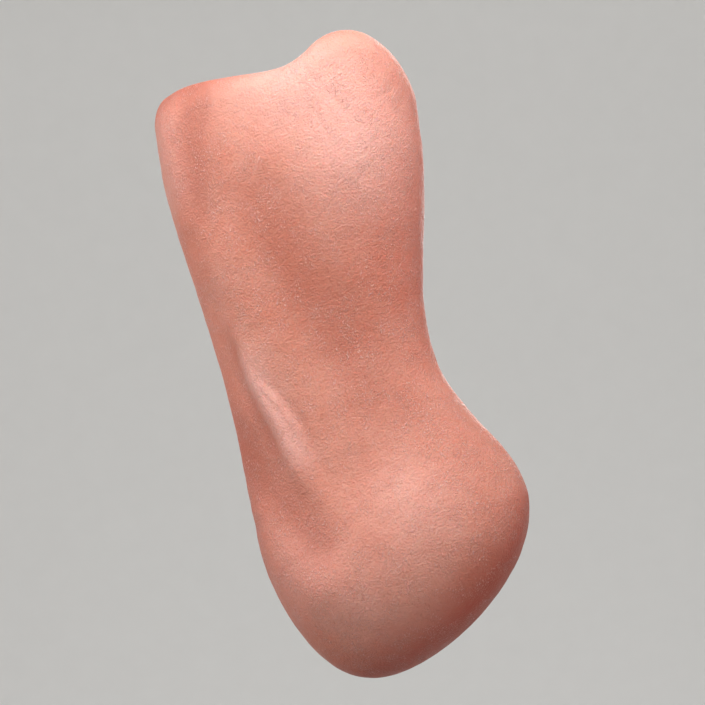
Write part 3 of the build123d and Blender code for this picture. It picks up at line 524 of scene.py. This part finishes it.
inside_after = len(cuff_inside) + len(lip) + len(rolled)
cuff_cover = add_piece(
    "cuff_cover",
    np.vstack(cuff_rings),
    {
        key: with_inside(field, 0, seam_row + 1, 0, inside_after, len(rolled))
        for key, field in FIELDS.items()
    },
    looped=True,
    sharp=(seam_row, seam_row + 1),
)
inside_before = len(tip_inside) + len(hand_inside)
hand_cover = add_piece(
    "hand_cover",
    np.vstack(hand_rings),
    {key: with_inside(field, seam_row, None, inside_before, 0) for key, field in FIELDS.items()},
    poles=(inner_pole, outer_pole),
    sharp=(inside_before - 1, inside_before),
)


# ---------------------------------------------------------------- lining of the cuff
LINING_TOP = 0.15  # below the shell's edge
LINING_BOTTOM = -3.9
LINING_OUT = 4.95
LINING_IN = 6.4
LAP = 0.45  # lap joint at the back
LAP_WIDTH = 0.16  # half its width, in radians
DIMPLE = 0.12
DIMPLE_LENGTH = 5.2
DIMPLE_TURNS = 9


def lining_wall(height, angle):
    """How far in the lining's face lies: a flat-topped bell at the back, and the product of two sines."""
    lap = LAP * np.exp(-(((angle - np.pi / 2) / LAP_WIDTH) ** 4))
    dimple = DIMPLE * np.sin(height / DIMPLE_LENGTH) * np.sin(DIMPLE_TURNS * angle)
    return LINING_IN + lap + dimple


lining_share = np.linspace(0, 1, LINING_ROWS)[:, None]
lining_top = shell_height(angles, LINING_IN) - LINING_TOP
lining_heights = lining_top * (1 - lining_share) + LINING_BOTTOM * lining_share
lining_outside = form(lining_heights, angles, LINING_OUT)
lining_inside = form(lining_heights, angles, lining_wall(lining_heights, angles))
cuff_lining = add_piece("cuff_lining", np.vstack([lining_outside, lining_inside[::-1]]), looped=True)


# ---------------------------------------------------------------- threaded stud
STUD_COLUMNS = 96
THREAD_ROWS = 190
STUD_R = 6.33
THREAD_PITCH = 1.27
THREAD_DEPTH = 0.62
THREAD_STEEP = 1.25  # steepness of the V's flanks
THREAD_FLAT = 0.12  # share of the pitch that stays flat at the crest
RUN_OUT = 1.2  # the thread fades into the neck over this height
STUD_TOP = 15.0
STUD_CHAMFER = 1.0
NECK_R = 5.6
COLLAR_TOP = -2.0
HEAD_TOP = -5.0
HEAD_BOTTOM = -8.0
HEAD_FLAT_R = 9.5
EDGE = 0.01  # rings on either side of a hard edge stand this far from it


def thread_radius(height, turn):
    """Radius of a right-hand thread: a rounded V whose place along the axis goes up one pitch a turn."""
    place = (height / THREAD_PITCH - turn / (2 * np.pi)) % 1
    groove = np.clip(THREAD_STEEP * np.abs(2 * place - 1) - THREAD_FLAT, 0, 1)
    return STUD_R - THREAD_DEPTH * groove


def hexagon_radius(turn):
    """Radius of the hexagonal head: its flats' distance over the cosine of the angle from a flat's middle."""
    return HEAD_FLAT_R / np.cos((turn + np.pi / 6) % (np.pi / 3) - np.pi / 6)


turn = 2 * np.pi * np.arange(STUD_COLUMNS) / STUD_COLUMNS
thread_heights = np.linspace(STUD_TOP - 2 * EDGE, 2 * EDGE, THREAD_ROWS)[:, None] + 0 * turn
run_out = smooth_step(0, RUN_OUT, thread_heights)
thread = thread_radius(thread_heights, turn) * run_out + NECK_R * (1 - run_out)
point = STUD_R - STUD_CHAMFER + (STUD_TOP - thread_heights)
thread = np.minimum(thread, np.maximum(point, 0))
# height and radius of the rings below the thread: neck, collar and hexagonal head
shank = (
    (0.0, NECK_R),
    (COLLAR_TOP + EDGE, NECK_R),
    (COLLAR_TOP - EDGE, STUD_R),
    (HEAD_TOP + EDGE, STUD_R),
    (HEAD_TOP, hexagon_radius(turn)),
    (HEAD_BOTTOM, hexagon_radius(turn)),
)
stud_heights = np.vstack([thread_heights, *(height + 0 * turn for height, _ in shank)])
stud_radius = np.vstack([thread, *(radius + 0 * turn for _, radius in shank)])
stud = add_piece(
    "threaded_stud",
    np.stack([stud_radius * np.cos(turn), stud_radius * np.sin(turn), stud_heights], axis=-1),
    poles=((0, 0, STUD_TOP), (0, 0, HEAD_BOTTOM)),
)


# ---------------------------------------------------------------- shader groups
def set_inputs(item, values):
    """Sets a node's input sockets by name or number."""
    for key, value in values.items():
        item.inputs[key].default_value = value


def add_node(tree, kind, inputs=None, **settings):
    """New node with its settings and the values of its unlinked inputs."""
    item = tree.nodes.new(kind)
    for key, value in settings.items():
        setattr(item, key, value)
    set_inputs(item, inputs or {})
    return item


def feed(tree, socket, value):
    """Links a value to an input socket, or sets it there: a number, or the three numbers of a colour."""
    if isinstance(value, bpy.types.NodeSocket):
        tree.links.new(value, socket)
    else:
        socket.default_value = (*value, 1) if isinstance(value, tuple) else value


def math_node(tree, operation, *operands):
    """Result of a math node whose operands are sockets or numbers."""
    item = add_node(tree, "ShaderNodeMath", operation=operation)
    for socket, value in zip(item.inputs, operands):
        feed(tree, socket, value)
    return item.outputs[0]


def plus(tree, first, second):
    """Sum of two sockets or numbers."""
    return math_node(tree, "ADD", first, second)


def minus(tree, first, second):
    """Difference of two sockets or numbers."""
    return math_node(tree, "SUBTRACT", first, second)


def times(tree, first, second):
    """Product of two sockets or numbers."""
    return math_node(tree, "MULTIPLY", first, second)


def spread(tree, value, low, high, to_low=0.0, to_high=1.0):
    """Value mapped from low-high to to_low-to_high with a smooth step."""
    item = add_node(
        tree,
        "ShaderNodeMapRange",
        {"From Min": low, "From Max": high, "To Min": to_low, "To Max": to_high},
        interpolation_type="SMOOTHSTEP",
    )
    tree.links.new(value, item.inputs["Value"])
    return item.outputs["Result"]


MIX_SHARE, MIX_FIRST, MIX_SECOND = 0, 6, 7  # numbers of a colour mix's inputs
MIX_RESULT = 2  # and of its output


def mix_colour(tree, share, first, second):
    """Mix of two colours, each a socket or three numbers, by a share that is a socket or a number."""
    item = add_node(tree, "ShaderNodeMix", data_type="RGBA")
    feed(tree, item.inputs[MIX_SHARE], share)
    feed(tree, item.inputs[MIX_FIRST], first)
    feed(tree, item.inputs[MIX_SECOND], second)
    return item.outputs[MIX_RESULT]


def placed(tree, scale=(1, 1, 1), turned=(0, 0, 0)):
    """Object coordinates, turned and scaled."""
    where = add_node(tree, "ShaderNodeTexCoord")
    mapping = add_node(tree, "ShaderNodeMapping", {"Scale": scale, "Rotation": turned})
    tree.links.new(where.outputs["Object"], mapping.inputs["Vector"])
    return mapping.outputs["Vector"]


def noise(tree, vector, scale=1.0, detail=2.0, rough=0.5):
    """Noise value from 0 to 1, of a scale that is a socket or a number."""
    item = add_node(tree, "ShaderNodeTexNoise", {"Detail": detail, "Roughness": rough})
    feed(tree, item.inputs["Vector"], vector)
    feed(tree, item.inputs["Scale"], scale)
    return item.outputs["Fac"]


def cells(tree, vector, scale, feature="F1"):
    """Distance of a cell pattern, of a scale that is a socket or a number."""
    item = add_node(tree, "ShaderNodeTexVoronoi", feature=feature)
    feed(tree, item.inputs["Vector"], vector)
    feed(tree, item.inputs["Scale"], scale)
    return item.outputs["Distance"]


def new_group(name, inputs, outputs):
    """Shader group with inputs (name, default) and outputs (name), all of them floats."""
    tree = bpy.data.node_groups.new(name, "ShaderNodeTree")
    for label, default in inputs:
        socket = tree.interface.new_socket(label, in_out="INPUT", socket_type="NodeSocketFloat")
        socket.default_value = default
    for label in outputs:
        tree.interface.new_socket(label, in_out="OUTPUT", socket_type="NodeSocketFloat")
    return tree, tree.nodes.new("NodeGroupInput").outputs, tree.nodes.new("NodeGroupOutput").inputs


# sizes of the even patterns, in cells a metre
MOTTLES = 55.0
SMUDGES = 45.0
PEBBLES = 1500.0
LARGE_PEBBLES = 620.0
PORES = 260.0
SKIN_MOTTLES = 38.0
FLECK_PATCHES = 160.0
WARPS = 320.0
WARP = 0.9  # how far the pebbles' pattern is pushed about, in millimetres
# cells a metre in X, Y and Z of the drawn-out patterns, and how they are turned, in radians
SCRATCHES = (3200, 260, 900), (0.4, 0.9, 0.3)
FIBRES = (1500, 1500, 190), (0, 0.52, 0)
CROSSING_FIBRES = (1300, 1300, 230), (0, -0.75, 0)
FLECKS = (2300, 2300, 1500), (0, -0.6, 0)
VEINS = (26, 26, 9), (0, 0.3, 0)


def make_grain():
    """Fine grain at Scale cells a metre less sparse specks, and a broader mottle."""
    given_names = (("Scale", 900.0), ("Speck", 0.5))
    tree, given, put = new_group("fine_grain", given_names, ("Height", "Mottle", "Specks"))
    where = placed(tree)
    fine = noise(tree, where, given["Scale"], detail=4.0, rough=0.62)
    dots = cells(tree, where, times(tree, given["Scale"], 0.45))
    speck = times(tree, spread(tree, dots, 0.22, 0.05), given["Speck"])
    tree.links.new(minus(tree, fine, speck), put["Height"])
    tree.links.new(noise(tree, where, MOTTLES, detail=3.0), put["Mottle"])
    tree.links.new(speck, put["Specks"])
    return tree


def make_turning():
    """Tool marks: rings round Z, from noise along the distance from Z plus the height."""
    tree, given, put = new_group("tool_marks", (("Pitch", 4000.0),), ("Height", "Streak"))
    where = add_node(tree, "ShaderNodeTexCoord")
    parts = add_node(tree, "ShaderNodeSeparateXYZ")
    tree.links.new(where.outputs["Object"], parts.inputs[0])
    x, y, z = parts.outputs
    radius = math_node(tree, "SQRT", plus(tree, times(tree, x, x), times(tree, y, y)))
    lines = add_node(tree, "ShaderNodeTexNoise", {"Detail": 3.0, "Roughness": 0.6}, noise_dimensions="1D")
    tree.links.new(plus(tree, radius, z), lines.inputs["W"])
    tree.links.new(given["Pitch"], lines.inputs["Scale"])
    tree.links.new(lines.outputs["Fac"], put["Height"])
    tree.links.new(spread(tree, lines.outputs["Fac"], 0.3, 0.7), put["Streak"])
    return tree


def make_wear():
    """Handling marks: soft smudges, and fine random scratches."""
    tree, given, put = new_group("handling", (("Scratches", 0.4),), ("Smudge", "Scratch"))
    smudge = noise(tree, placed(tree), SMUDGES, detail=3.0, rough=0.55)
    tree.links.new(spread(tree, smudge, 0.42, 0.68), put["Smudge"])
    scratch = noise(tree, placed(tree, *SCRATCHES), detail=1.0)
    tree.links.new(times(tree, spread(tree, scratch, 0.67, 0.74), given["Scratches"]), put["Scratch"])
    return tree


def make_skin_relief():
    """Skin surface: pebbled cells in two sizes plus crossing fibres, less sparse pores.

    The mottle and the veins are broad noise, and the flecks are drawn-out noise that shows in patches.
    """
    tree, _, put = new_group("skin_relief", (), ("Height", "Mottle", "Fleck_And_Glint", "Vein"))
    where = placed(tree)
    warp = add_node(tree, "ShaderNodeTexNoise", {"Scale": WARPS, "Detail": 2.0})
    tree.links.new(where, warp.inputs["Vector"])
    moved = add_node(tree, "ShaderNodeVectorMath", operation="MULTIPLY_ADD")
    tree.links.new(warp.outputs["Color"], moved.inputs[0])
    moved.inputs[1].default_value = (WARP * MM,) * 3
    tree.links.new(where, moved.inputs[2])
    pebble = cells(tree, moved.outputs[0], PEBBLES)
    larger = cells(tree, moved.outputs[0], LARGE_PEBBLES, "SMOOTH_F1")
    fibre = noise(tree, placed(tree, *FIBRES))
    cross = noise(tree, placed(tree, *CROSSING_FIBRES))
    lines = plus(tree, times(tree, fibre, 0.9), times(tree, cross, 0.5))
    pebbled = plus(tree, times(tree, pebble, 0.75), times(tree, larger, 0.5))
    pore = spread(tree, cells(tree, where, PORES), 0.10, 0.02)
    tree.links.new(minus(tree, plus(tree, pebbled, lines), times(tree, pore, 0.5)), put["Height"])
    tree.links.new(noise(tree, where, SKIN_MOTTLES, detail=5.0, rough=0.6), put["Mottle"])
    patchy = spread(tree, noise(tree, where, FLECK_PATCHES), 0.4, 0.62)
    fleck = spread(tree, noise(tree, placed(tree, *FLECKS), detail=1.0), 0.56, 0.68)
    tree.links.new(times(tree, fleck, patchy), put["Fleck_And_Glint"])
    tree.links.new(noise(tree, placed(tree, *VEINS), detail=4.0, rough=0.65), put["Vein"])
    return tree


GRAIN = make_grain()
TURNING = make_turning()
WEAR = make_wear()
SKIN_RELIEF = make_skin_relief()


def use_group(tree, group, **inputs):
    """Places a shader group and returns its outputs."""
    item = tree.nodes.new("ShaderNodeGroup")
    item.node_tree = group
    set_inputs(item, inputs)
    return item.outputs


def start_material(name, **constants):
    """Material with a Principled shader whose constants are set on its own sockets."""
    made = bpy.data.materials.new(name)
    made.use_nodes = True
    shader = made.node_tree.nodes["Principled BSDF"]
    set_inputs(shader, {key.replace("_", " "): value for key, value in constants.items()})
    return made, made.node_tree, shader


def bump(tree, shader, height, depth):
    """Surface relief of a depth in millimetres."""
    item = add_node(tree, "ShaderNodeBump", {"Strength": 1.0, "Distance": depth * MM})
    tree.links.new(height, item.inputs["Height"])
    tree.links.new(item.outputs["Normal"], shader.inputs["Normal"])


# ---------------------------------------------------------------- materials
SKIN_MID = (0.66, 0.25, 0.175)
SKIN_LIGHT = (0.73, 0.335, 0.255)
# painted shade colour, a dark red, for the faces that the facing field picks out
SKIN_FACING_SHADE = (0.43, 0.06, 0.034)
# darker tone: the veins' own colour, and painted shade in the grain's pits
SKIN_VEIN_AND_PIT_SHADE = (0.48, 0.145, 0.09)
# painted highlight colour, for the highlight patches and the glints on the flecks
SKIN_PAINTED_HIGHLIGHT = (0.80, 0.43, 0.375)
# painted shade colour for the hollows, grooves and darker patches
SKIN_PAINTED_SHADE = (0.48, 0.145, 0.095)
SKIN_DEPTH = 0.24  # of its grain, in millimetres
# how much of its colour each tint of the cover puts on at full strength: painted shade by facing, painted
# shade in the hollows, and painted highlights
TINTS = (("painted_facing_shade", 0.8, SKIN_FACING_SHADE), ("painted_shade", 0.7, SKIN_PAINTED_SHADE), ("painted_highlight", 0.8, SKIN_PAINTED_HIGHLIGHT))


def skin_material():
    """Tinted silicone: mottled colour, with painted shade, redder and darker, at the sides, underneath and in
    the hollows, and painted highlights, paler, on the ridges and as glints on the flecks.
    """
    made, tree, shader = start_material(
        "tinted_silicone",
        Subsurface_Weight=0.35,
        Subsurface_Radius=(1.0, 0.34, 0.2),
        Subsurface_Scale=0.9 * MM,
        IOR=1.42,
        Specular_IOR_Level=0.42,
    )
    skin = use_group(tree, SKIN_RELIEF)
    colour = mix_colour(tree, spread(tree, skin["Mottle"], 0.32, 0.7), SKIN_MID, SKIN_LIGHT)
    colour = mix_colour(tree, spread(tree, skin["Vein"], 0.5, 0.75, 0, 0.2), colour, SKIN_VEIN_AND_PIT_SHADE)
    for field, share, tint in TINTS:
        strength = add_node(tree, "ShaderNodeAttribute", attribute_name=field).outputs["Fac"]
        colour = mix_colour(tree, times(tree, strength, share), colour, tint)
    # painted shade in the grain's pits and lines: darker where the skin's relief is low
    colour = mix_colour(tree, spread(tree, skin["Height"], 1.25, 0.5, 0, 0.45), colour, SKIN_VEIN_AND_PIT_SHADE)
    # painted glints: the flecks are coloured paler, a painted highlight, besides being glossier and raised
    colour = mix_colour(tree, times(tree, skin["Fleck_And_Glint"], 0.8), colour, SKIN_PAINTED_HIGHLIGHT)
    tree.links.new(colour, shader.inputs["Base Color"])
    rough = spread(tree, skin["Mottle"], 0.3, 0.7, 0.5, 0.4)
    tree.links.new(minus(tree, rough, times(tree, skin["Fleck_And_Glint"], 0.2)), shader.inputs["Roughness"])
    bump(tree, shader, plus(tree, skin["Height"], skin["Fleck_And_Glint"]), SKIN_DEPTH)
    return made


SPECK_TONE = 0.6  # a speck's colour, as a share of the darker tone
SPECK_SHARE = 0.5  # how much of that colour it takes
SMUDGE_GLOSS = 0.08  # how much smoother a smudge is


def plain_material(name, low, high, rough, grain=900.0, depth=0.03, speck=0.4, **constants):
    """Moulded, foamed or coated finish: two tones mottled together, fine grain and handling marks."""
    made, tree, shader = start_material(name, Metallic=0.0, **constants)
    fine = use_group(tree, GRAIN, Scale=grain, Speck=speck)
    marks = use_group(tree, WEAR, Scratches=0.3)
    colour = mix_colour(tree, spread(tree, fine["Mottle"], 0.3, 0.7), low, high)
    dark = tuple(tone * SPECK_TONE for tone in low)
    colour = mix_colour(tree, times(tree, fine["Specks"], SPECK_SHARE), colour, dark)
    tree.links.new(colour, shader.inputs["Base Color"])
    gloss = spread(tree, marks["Smudge"], 0, 1, rough, rough - SMUDGE_GLOSS)
    tree.links.new(plus(tree, gloss, marks["Scratch"]), shader.inputs["Roughness"])
    bump(tree, shader, fine["Height"], depth)
    return made


RING_PITCH = 3000.0  # tool-mark rings a metre
RING_DEPTH = 0.012  # in millimetres
RING_GLOSS = 0.07  # how much smoother the bright rings are


def turned_metal(name, low, high, rough):
    """Machined metal: tool-mark rings, streaked tone, smudges and scratches."""
    made, tree, shader = start_material(name, Metallic=1.0)
    rings = use_group(tree, TURNING, Pitch=RING_PITCH)
    marks = use_group(tree, WEAR, Scratches=0.5)
    colour = mix_colour(tree, rings["Streak"], low, high)
    colour = mix_colour(tree, times(tree, marks["Smudge"], 0.3), colour, low)
    tree.links.new(colour, shader.inputs["Base Color"])
    gloss = spread(tree, rings["Streak"], 0, 1, rough, rough - RING_GLOSS)
    gloss = plus(tree, gloss, times(tree, marks["Smudge"], 0.1))
    gloss = plus(tree, gloss, times(tree, marks["Scratch"], 0.3))
    tree.links.new(gloss, shader.inputs["Roughness"])
    bump(tree, shader, rings["Height"], RING_DEPTH)
    return made


RESIN_LOW = (0.62, 0.55, 0.44)
RESIN_HIGH = (0.80, 0.74, 0.63)
RESIN_DARK = (0.55, 0.46, 0.36)
KNIT = {"Scale": 240.0, "Distortion": 1.5, "Detail": 1.0}
KNIT_DEPTH = 0.05


def laminate_material():
    """Laminated shell: pigmented resin over a knitted stockinette whose loops just show."""
    made, tree, shader = start_material("laminated_shell", IOR=1.5)
    where = placed(tree)
    knit = [add_node(tree, "ShaderNodeTexWave", KNIT, bands_direction=axis) for axis in ("X", "Z")]
    for item in knit:
        tree.links.new(where, item.inputs["Vector"])
    loops = times(tree, knit[0].outputs["Fac"], knit[1].outputs["Fac"])
    fine = use_group(tree, GRAIN, Scale=700.0, Speck=0.2)
    colour = mix_colour(tree, loops, RESIN_LOW, RESIN_HIGH)
    colour = mix_colour(tree, times(tree, fine["Mottle"], 0.3), colour, RESIN_DARK)
    tree.links.new(colour, shader.inputs["Base Color"])
    tree.links.new(spread(tree, fine["Mottle"], 0.3, 0.7, 0.32, 0.46), shader.inputs["Roughness"])
    bump(tree, shader, loops, KNIT_DEPTH)
    return made


SKIN = skin_material()
# by material slot: name, darker and lighter tone and roughness,
# and for what isn't metal also the grain's cells a metre, its depth and how strong its specks are
FINISHES = {
    "shell_laminate": laminate_material(),
    "liner_foam": plain_material(
        "lining_foam", (0.66, 0.49, 0.37), (0.76, 0.60, 0.47), 0.85, 1300.0, 0.12, 0.9, Sheen_Weight=0.25
    ),
    "palm_foam": plain_material(
        "filling_foam", (0.72, 0.56, 0.38), (0.80, 0.66, 0.48), 0.9, 1000.0, 0.16, 1.0, Sheen_Weight=0.2
    ),
    "anodised_aluminium": turned_metal("anodised_aluminium", (0.62, 0.63, 0.66), (0.78, 0.79, 0.82), 0.38),
    "steel": turned_metal("plated_steel", (0.50, 0.50, 0.51), (0.70, 0.70, 0.70), 0.3),
    "black_steel": turned_metal("blackened_steel", (0.035, 0.036, 0.04), (0.07, 0.07, 0.075), 0.42),
    "black_rubber": plain_material(
        "washer_rubber", (0.022, 0.022, 0.023), (0.045, 0.045, 0.046), 0.7, 1600.0, 0.03
    ),
    "brass": turned_metal("turned_brass", (0.66, 0.44, 0.16), (0.85, 0.64, 0.30), 0.28),
    "acetal": plain_material("white_acetal", (0.78, 0.78, 0.76), (0.86, 0.86, 0.84), 0.4, 1500.0, 0.01, 0.1),
    "friction_fibre": plain_material(
        "friction_fibre", (0.12, 0.07, 0.045), (0.24, 0.15, 0.10), 0.75, 700.0, 0.06, 0.8
    ),
    "frame_nylon": plain_material(
        "moulded_nylon", (0.022, 0.024, 0.028), (0.04, 0.043, 0.05), 0.55, 1100.0, 0.03, 0.3
    ),
}


# ---------------------------------------------------------------- what each piece rides on and stands for
def finish_with(piece, made):
    """Gives a new piece its material."""
    piece.data.materials.append(made)


for subpart in frame["record"]["subparts"]:
    cad = nodes[subpart["node"]]
    made = FINISHES.get(subpart["material_slot"], SKIN)
    for slot in cad.material_slots:
        slot.material = made

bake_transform(cuff_cover)
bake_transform(hand_cover)
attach(cuff_lining, "cuff")
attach(stud, "cuff")
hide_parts("forearm_skin")
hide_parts("wrist_skin", "mitt_skin")
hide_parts("forearm_liner")
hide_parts("mount_stud")
finish_with(cuff_cover, SKIN)
finish_with(hand_cover, SKIN)
finish_with(cuff_lining, FINISHES["liner_foam"])
finish_with(stud, FINISHES["steel"])


# ---------------------------------------------------------------- studio
FLOOR_Z = -620.0
BOWL_R = 2300.0
BOWL_ROUND = 900.0  # radius of the quarter round between the floor and the wall
BOWL_TOP = 1500.0
BOWL_COLUMNS = 96
FLAT_RINGS = 12
ROUND_RINGS = 24
PAPER_LOW = (0.78, 0.77, 0.75)
PAPER_HIGH = (0.81, 0.80, 0.78)


def bowl():
    """Floor and backdrop in one: a flat disc that turns up through a quarter round into an upright wall."""
    flat = np.linspace(0.02, 1, FLAT_RINGS) * (BOWL_R - BOWL_ROUND)
    sweep = np.linspace(0, 0.5, ROUND_RINGS)[1:] * np.pi
    radius = np.concatenate([flat, BOWL_R - BOWL_ROUND + BOWL_ROUND * np.sin(sweep), [BOWL_R]])
    height = np.concatenate([flat * 0, BOWL_ROUND * (1 - np.cos(sweep)), [BOWL_TOP]]) + FLOOR_Z
    turn = 2 * np.pi * np.arange(BOWL_COLUMNS) / BOWL_COLUMNS
    x, y = radius[:, None] * np.cos(turn), radius[:, None] * np.sin(turn)
    rings = np.stack([x, y, height[:, None] + 0 * turn], axis=-1)
    return add_piece("studio_floor", rings, poles=((0, 0, FLOOR_Z), None))


def paper_material():
    """Pale matt paper, faintly mottled."""
    made, tree, shader = start_material("pale_paper", Roughness=0.9, Specular_IOR_Level=0.2)
    paper = use_group(tree, GRAIN, Scale=300.0, Speck=0.0)
    tree.links.new(mix_colour(tree, paper["Mottle"], PAPER_LOW, PAPER_HIGH), shader.inputs["Base Color"])
    return made


floor = bowl()
finish_with(floor, paper_material())


def softbox(name, place, aim, width, height, power, colour=(1, 1, 1)):
    """Rectangular area light at a place, turned to face its aim: millimetres, and a power in watts."""
    light = bpy.data.lights.new(name, "AREA")
    light.shape = "RECTANGLE"
    light.size, light.size_y = width * MM, height * MM
    light.energy = power
    light.color = colour
    holder = bpy.data.objects.new(name, light)
    holder.visible_camera = False
    bpy.context.scene.collection.objects.link(holder)
    start, end = np.array(place, float) * MM, np.array(aim, float) * MM
    back = start - end
    back /= np.linalg.norm(back)
    side = np.cross((0, 0, 1), back)
    side /= np.linalg.norm(side)
    matrix = np.eye(4)
    matrix[:3] = np.column_stack([side, np.cross(back, side), back, start])
    holder.matrix_world = Matrix(matrix.tolist())


softbox("key_light", (35, -200, 260), (6, 0, 30), 200, 150, 1.05, (1.0, 0.97, 0.94))
softbox("front_light", (0, -560, 220), (0, 0, -20), 400, 300, 0.35)
softbox("left_light", (-420, -200, 60), (0, 0, -20), 300, 300, 0.95)
softbox("right_light", (360, -360, 80), (0, 0, -20), 300, 300, 0.8)
softbox("rim_light", (390, 60, 300), (0, 0, 30), 300, 300, 1.0)
softbox("back_left_light", (-390, 20, 300), (0, 0, 30), 300, 300, 0.9)
softbox("back_light", (60, 620, 160), (0, 0, -20), 400, 400, 1.6)
softbox("wall_light", (0, 900, -200), (0, 2200, 250), 1200, 500, 10.0)
softbox("left_wall_light", (-1000, 0, -150), (-2200, 0, 250), 1200, 500, 5.0)
softbox("right_wall_light", (1000, 0, -150), (2200, 0, 250), 1200, 500, 5.0)
softbox("front_wall_light", (0, -1900, -200), (0, -2250, -200), 1200, 500, 4.5)

AIR_COLOUR = (0.93, 0.95, 1.0, 1)
AIR_STRENGTH = 0.02
world = bpy.data.worlds.new("studio_air")
bpy.context.scene.world = world
world.use_nodes = True
set_inputs(world.node_tree.nodes["Background"], {"Color": AIR_COLOUR, "Strength": AIR_STRENGTH})
bpy.context.scene.view_settings.view_transform = "Standard"


# ---------------------------------------------------------------- camera
LENS = 200.0
SENSOR = 36.0
VIEW_WIDTH = 218.6  # across the view, in the plane Y = 0
VIEW_CENTRE = (9.3, -32.7)  # X and Z in the middle of the view
LEAN = 7.5  # the forearm's top leans to the left, in degrees
NEAREST = 0.01  # clipping distances, in metres
FARTHEST = 20.0
camera = bpy.data.objects.new("camera", bpy.data.cameras.new("camera"))
bpy.context.scene.collection.objects.link(camera)
camera.data.lens = LENS
camera.data.sensor_width = SENSOR
camera.data.clip_start = NEAREST
camera.data.clip_end = FARTHEST
camera.location = (VIEW_CENTRE[0] * MM, -VIEW_WIDTH * LENS / SENSOR * MM, VIEW_CENTRE[1] * MM)
camera.rotation_euler = (math.radians(90), math.radians(LEAN), 0)
bpy.context.scene.camera = camera
